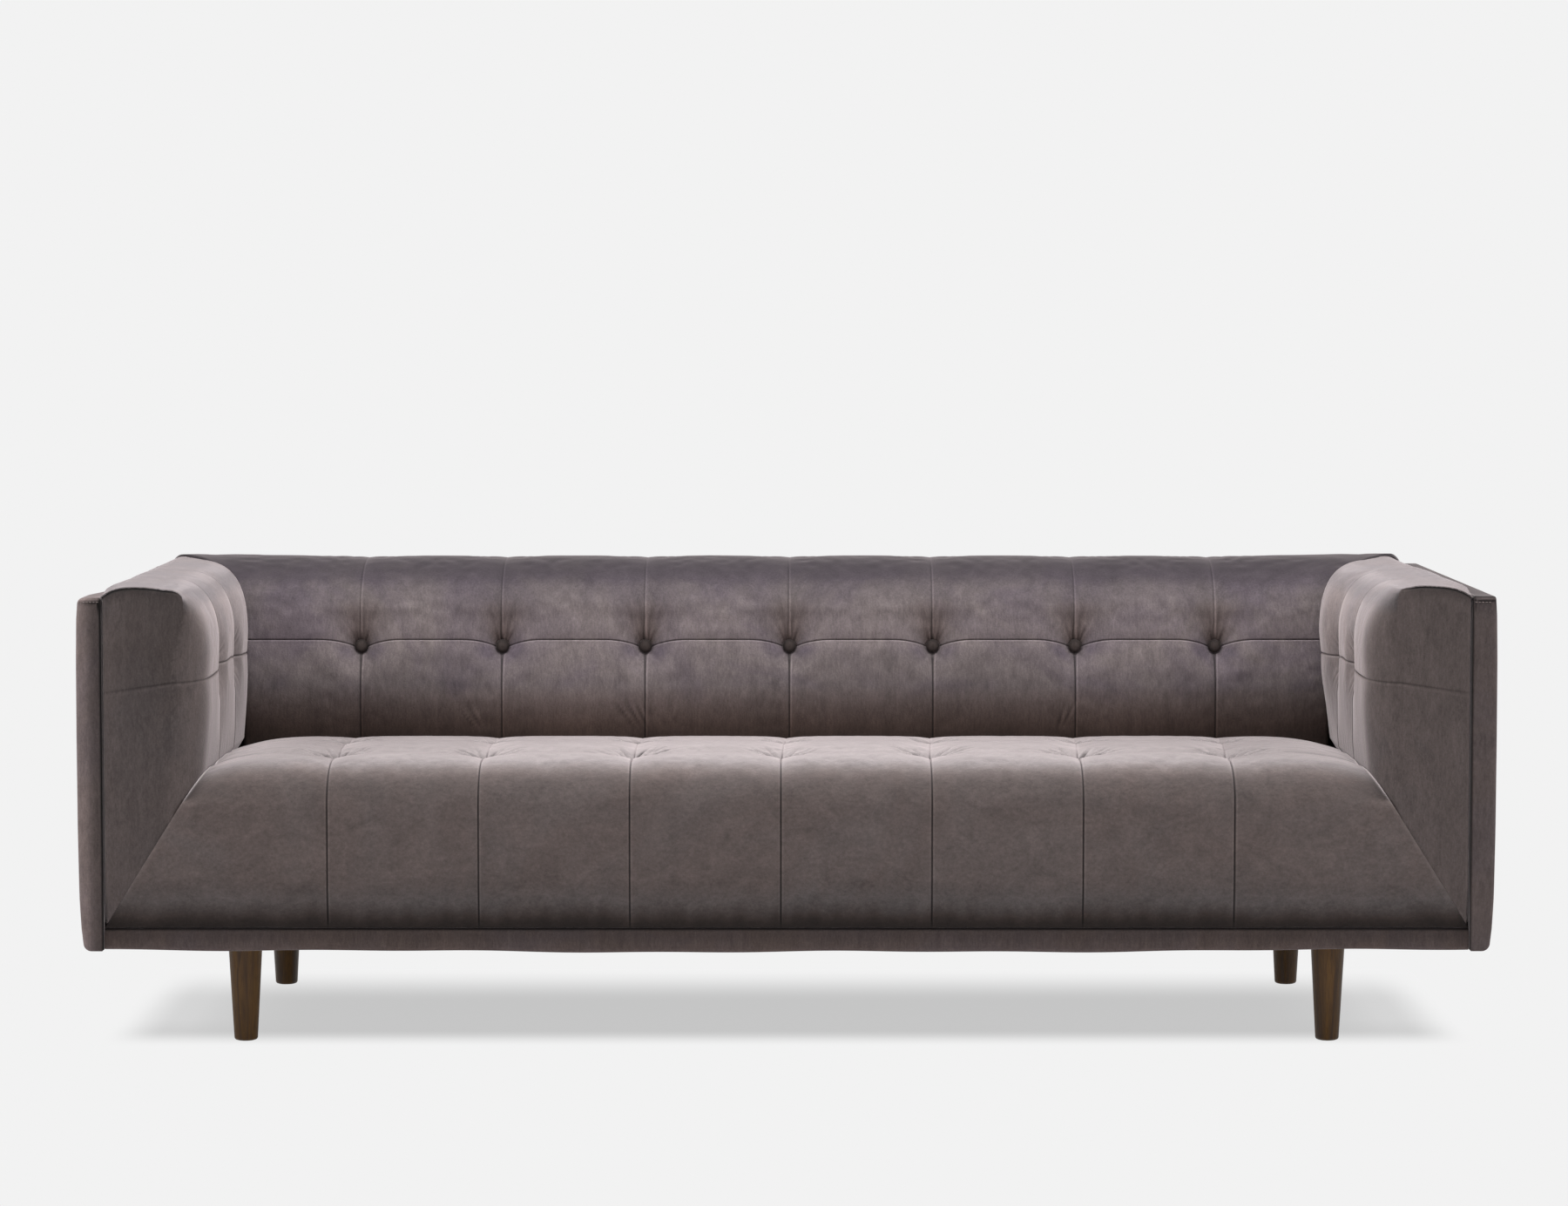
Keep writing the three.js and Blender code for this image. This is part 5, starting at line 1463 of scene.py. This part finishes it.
def covered_button_tree():
    """A domed button."""
    tree, given, out = geometry_tree("covered_buttons", [("Radius", "Float", 0.011), ("Height", "Float", 0.007)])
    ball = add(tree, "GeometryNodeMeshUVSphere", {"Segments": 32, "Rings": 20, "Radius": 1.0})
    radius, height = given.outputs["Radius"], given.outputs["Height"]
    size = add(tree, "ShaderNodeCombineXYZ", {"X": radius, "Y": radius, "Z": height})
    # Painted shade where the cloth turns over the rim, a little lighter on the dome.
    spot = add(tree, "GeometryNodeInputPosition").outputs["Position"]
    out_by = add(tree, "ShaderNodeVectorMath", {0: times(tree, spot, (1, 1, 0))}, operation="LENGTH")
    shade = ramp(tree, out_by.outputs["Value"], 0.35, 0.92, 0.05, -0.5, kind="SMOOTHSTEP")
    inputs = {"Geometry": ball.outputs["Mesh"], "Name": "nap", "Value": shade}
    rim_shade_stored = add(tree, "GeometryNodeStoreNamedAttribute", inputs, data_type="FLOAT")
    return copied_to_places(tree, given, out, rim_shade_stored.outputs["Geometry"], size.outputs["Vector"], "Z")


def buttons():
    tree = covered_button_tree()
    cloth = velvet(
        "button_velvet", (0.052, 0.04, 0.037), brushed=(0.046, 0.036, 0.035), patch_strength=0.2, sheen=0.4
    )
    values = {"Radius": BUTTON_RADIUS, "Height": BUTTON_HEIGHT, "Finish": cloth}
    for name, start, way in (
        ("back_buttons", "back_button", (0, -1, 0)),
        ("arm_buttons_left", "arm_button_left", (1, 0, 0)),
        ("arm_buttons_right", "arm_button_right", (-1, 0, 0)),
    ):
        members = [member for member in nodes if member.startswith(start)]
        middles = np.mean([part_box(member) for member in members], axis=1)
        # The arms' buttons are pulled in deeper than the back's, which follow their seams.
        middles[:, 0] += -ARM_BUTTON_SINK * way[0] if way[0] else np.interp(middles[:, 0], TUFT_XS, BACK_ASIDE)
        piece = grown(name, tree, markers(name + "_places", middles, [way] * len(middles)), values)
        smooth(piece)
        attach(piece, "root")
        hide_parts(*members)


buttons()


# Fastenings that show: the thread along the top of each side panel's front, sewn last by hand, and
# the staples that hold the dust cover's turned edge under the frame.
STITCH_LENGTH, STITCH_PITCH, THREAD_THICKNESS = 0.0042, 0.0052, 0.0009
STAPLE_LENGTH, STAPLE_PITCH, WIRE_THICKNESS = 0.011, 0.045, 0.0012
STAPLE_INSET = 0.009
CORNER_CLEAR = 0.03


def repeated_bar_tree():
    """A small rounded bar, which lies along the way that its place is marked."""
    tree, given, out = geometry_tree("repeated_bars", [("Length", "Float", 0.004), ("Thickness", "Float", 0.001)])
    bar = add(tree, "GeometryNodeMeshUVSphere", {"Segments": 10, "Rings": 8, "Radius": 0.5})
    length, thickness = given.outputs["Length"], given.outputs["Thickness"]
    size = add(tree, "ShaderNodeCombineXYZ", {"X": length, "Y": thickness, "Z": thickness})
    return copied_to_places(tree, given, out, bar.outputs["Mesh"], size.outputs["Vector"], "X")


def fastenings():
    tree = repeated_bar_tree()
    thread = fibre_cloth("sewing_thread", (0.2, 0.16, 0.155), (0.34, 0.29, 0.28), 1800, 0.5)
    wire = steel("staple_wire", (0.5, 0.5, 0.52), 0.35, 60)
    xs = np.arange(SHELL_INNER_X + 0.005, SHELL_OUTER_X - 0.011, STITCH_PITCH)
    seam = [(side * x, SOFA_FRONT - 0.0001, SHELL_TOP - 0.0066) for side in (-1, 1) for x in xs]
    low, high = np.array(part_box("dust_cover"))
    along = np.arange(low[0] + CORNER_CLEAR, high[0] - CORNER_CLEAR, STAPLE_PITCH)
    across = np.arange(low[1] + CORNER_CLEAR, high[1] - CORNER_CLEAR, STAPLE_PITCH)
    crowns = [(x, y, low[2] - 0.0002) for x in along for y in (low[1] + STAPLE_INSET, high[1] - STAPLE_INSET)]
    ways = [(1, 0, 0)] * len(crowns)
    crowns += [(x, y, low[2] - 0.0002) for y in across for x in (low[0] + STAPLE_INSET, high[0] - STAPLE_INSET)]
    ways += [(0, 1, 0)] * (len(crowns) - len(ways))
    for name, spots, lie, length, thick, finish, slot in (
        ("panel_edge_stitches", seam, [(1, 0, -0.12)] * len(seam), STITCH_LENGTH, THREAD_THICKNESS, thread, "velvet"),
        ("dust_cover_staples", crowns, ways, STAPLE_LENGTH, WIRE_THICKNESS, wire, "steel"),
    ):
        values = {"Length": length, "Thickness": thick, "Finish": finish}
        piece = grown(name, tree, markers(name + "_places", spots, lie), values)
        smooth(piece)
        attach(piece, "root")


fastenings()
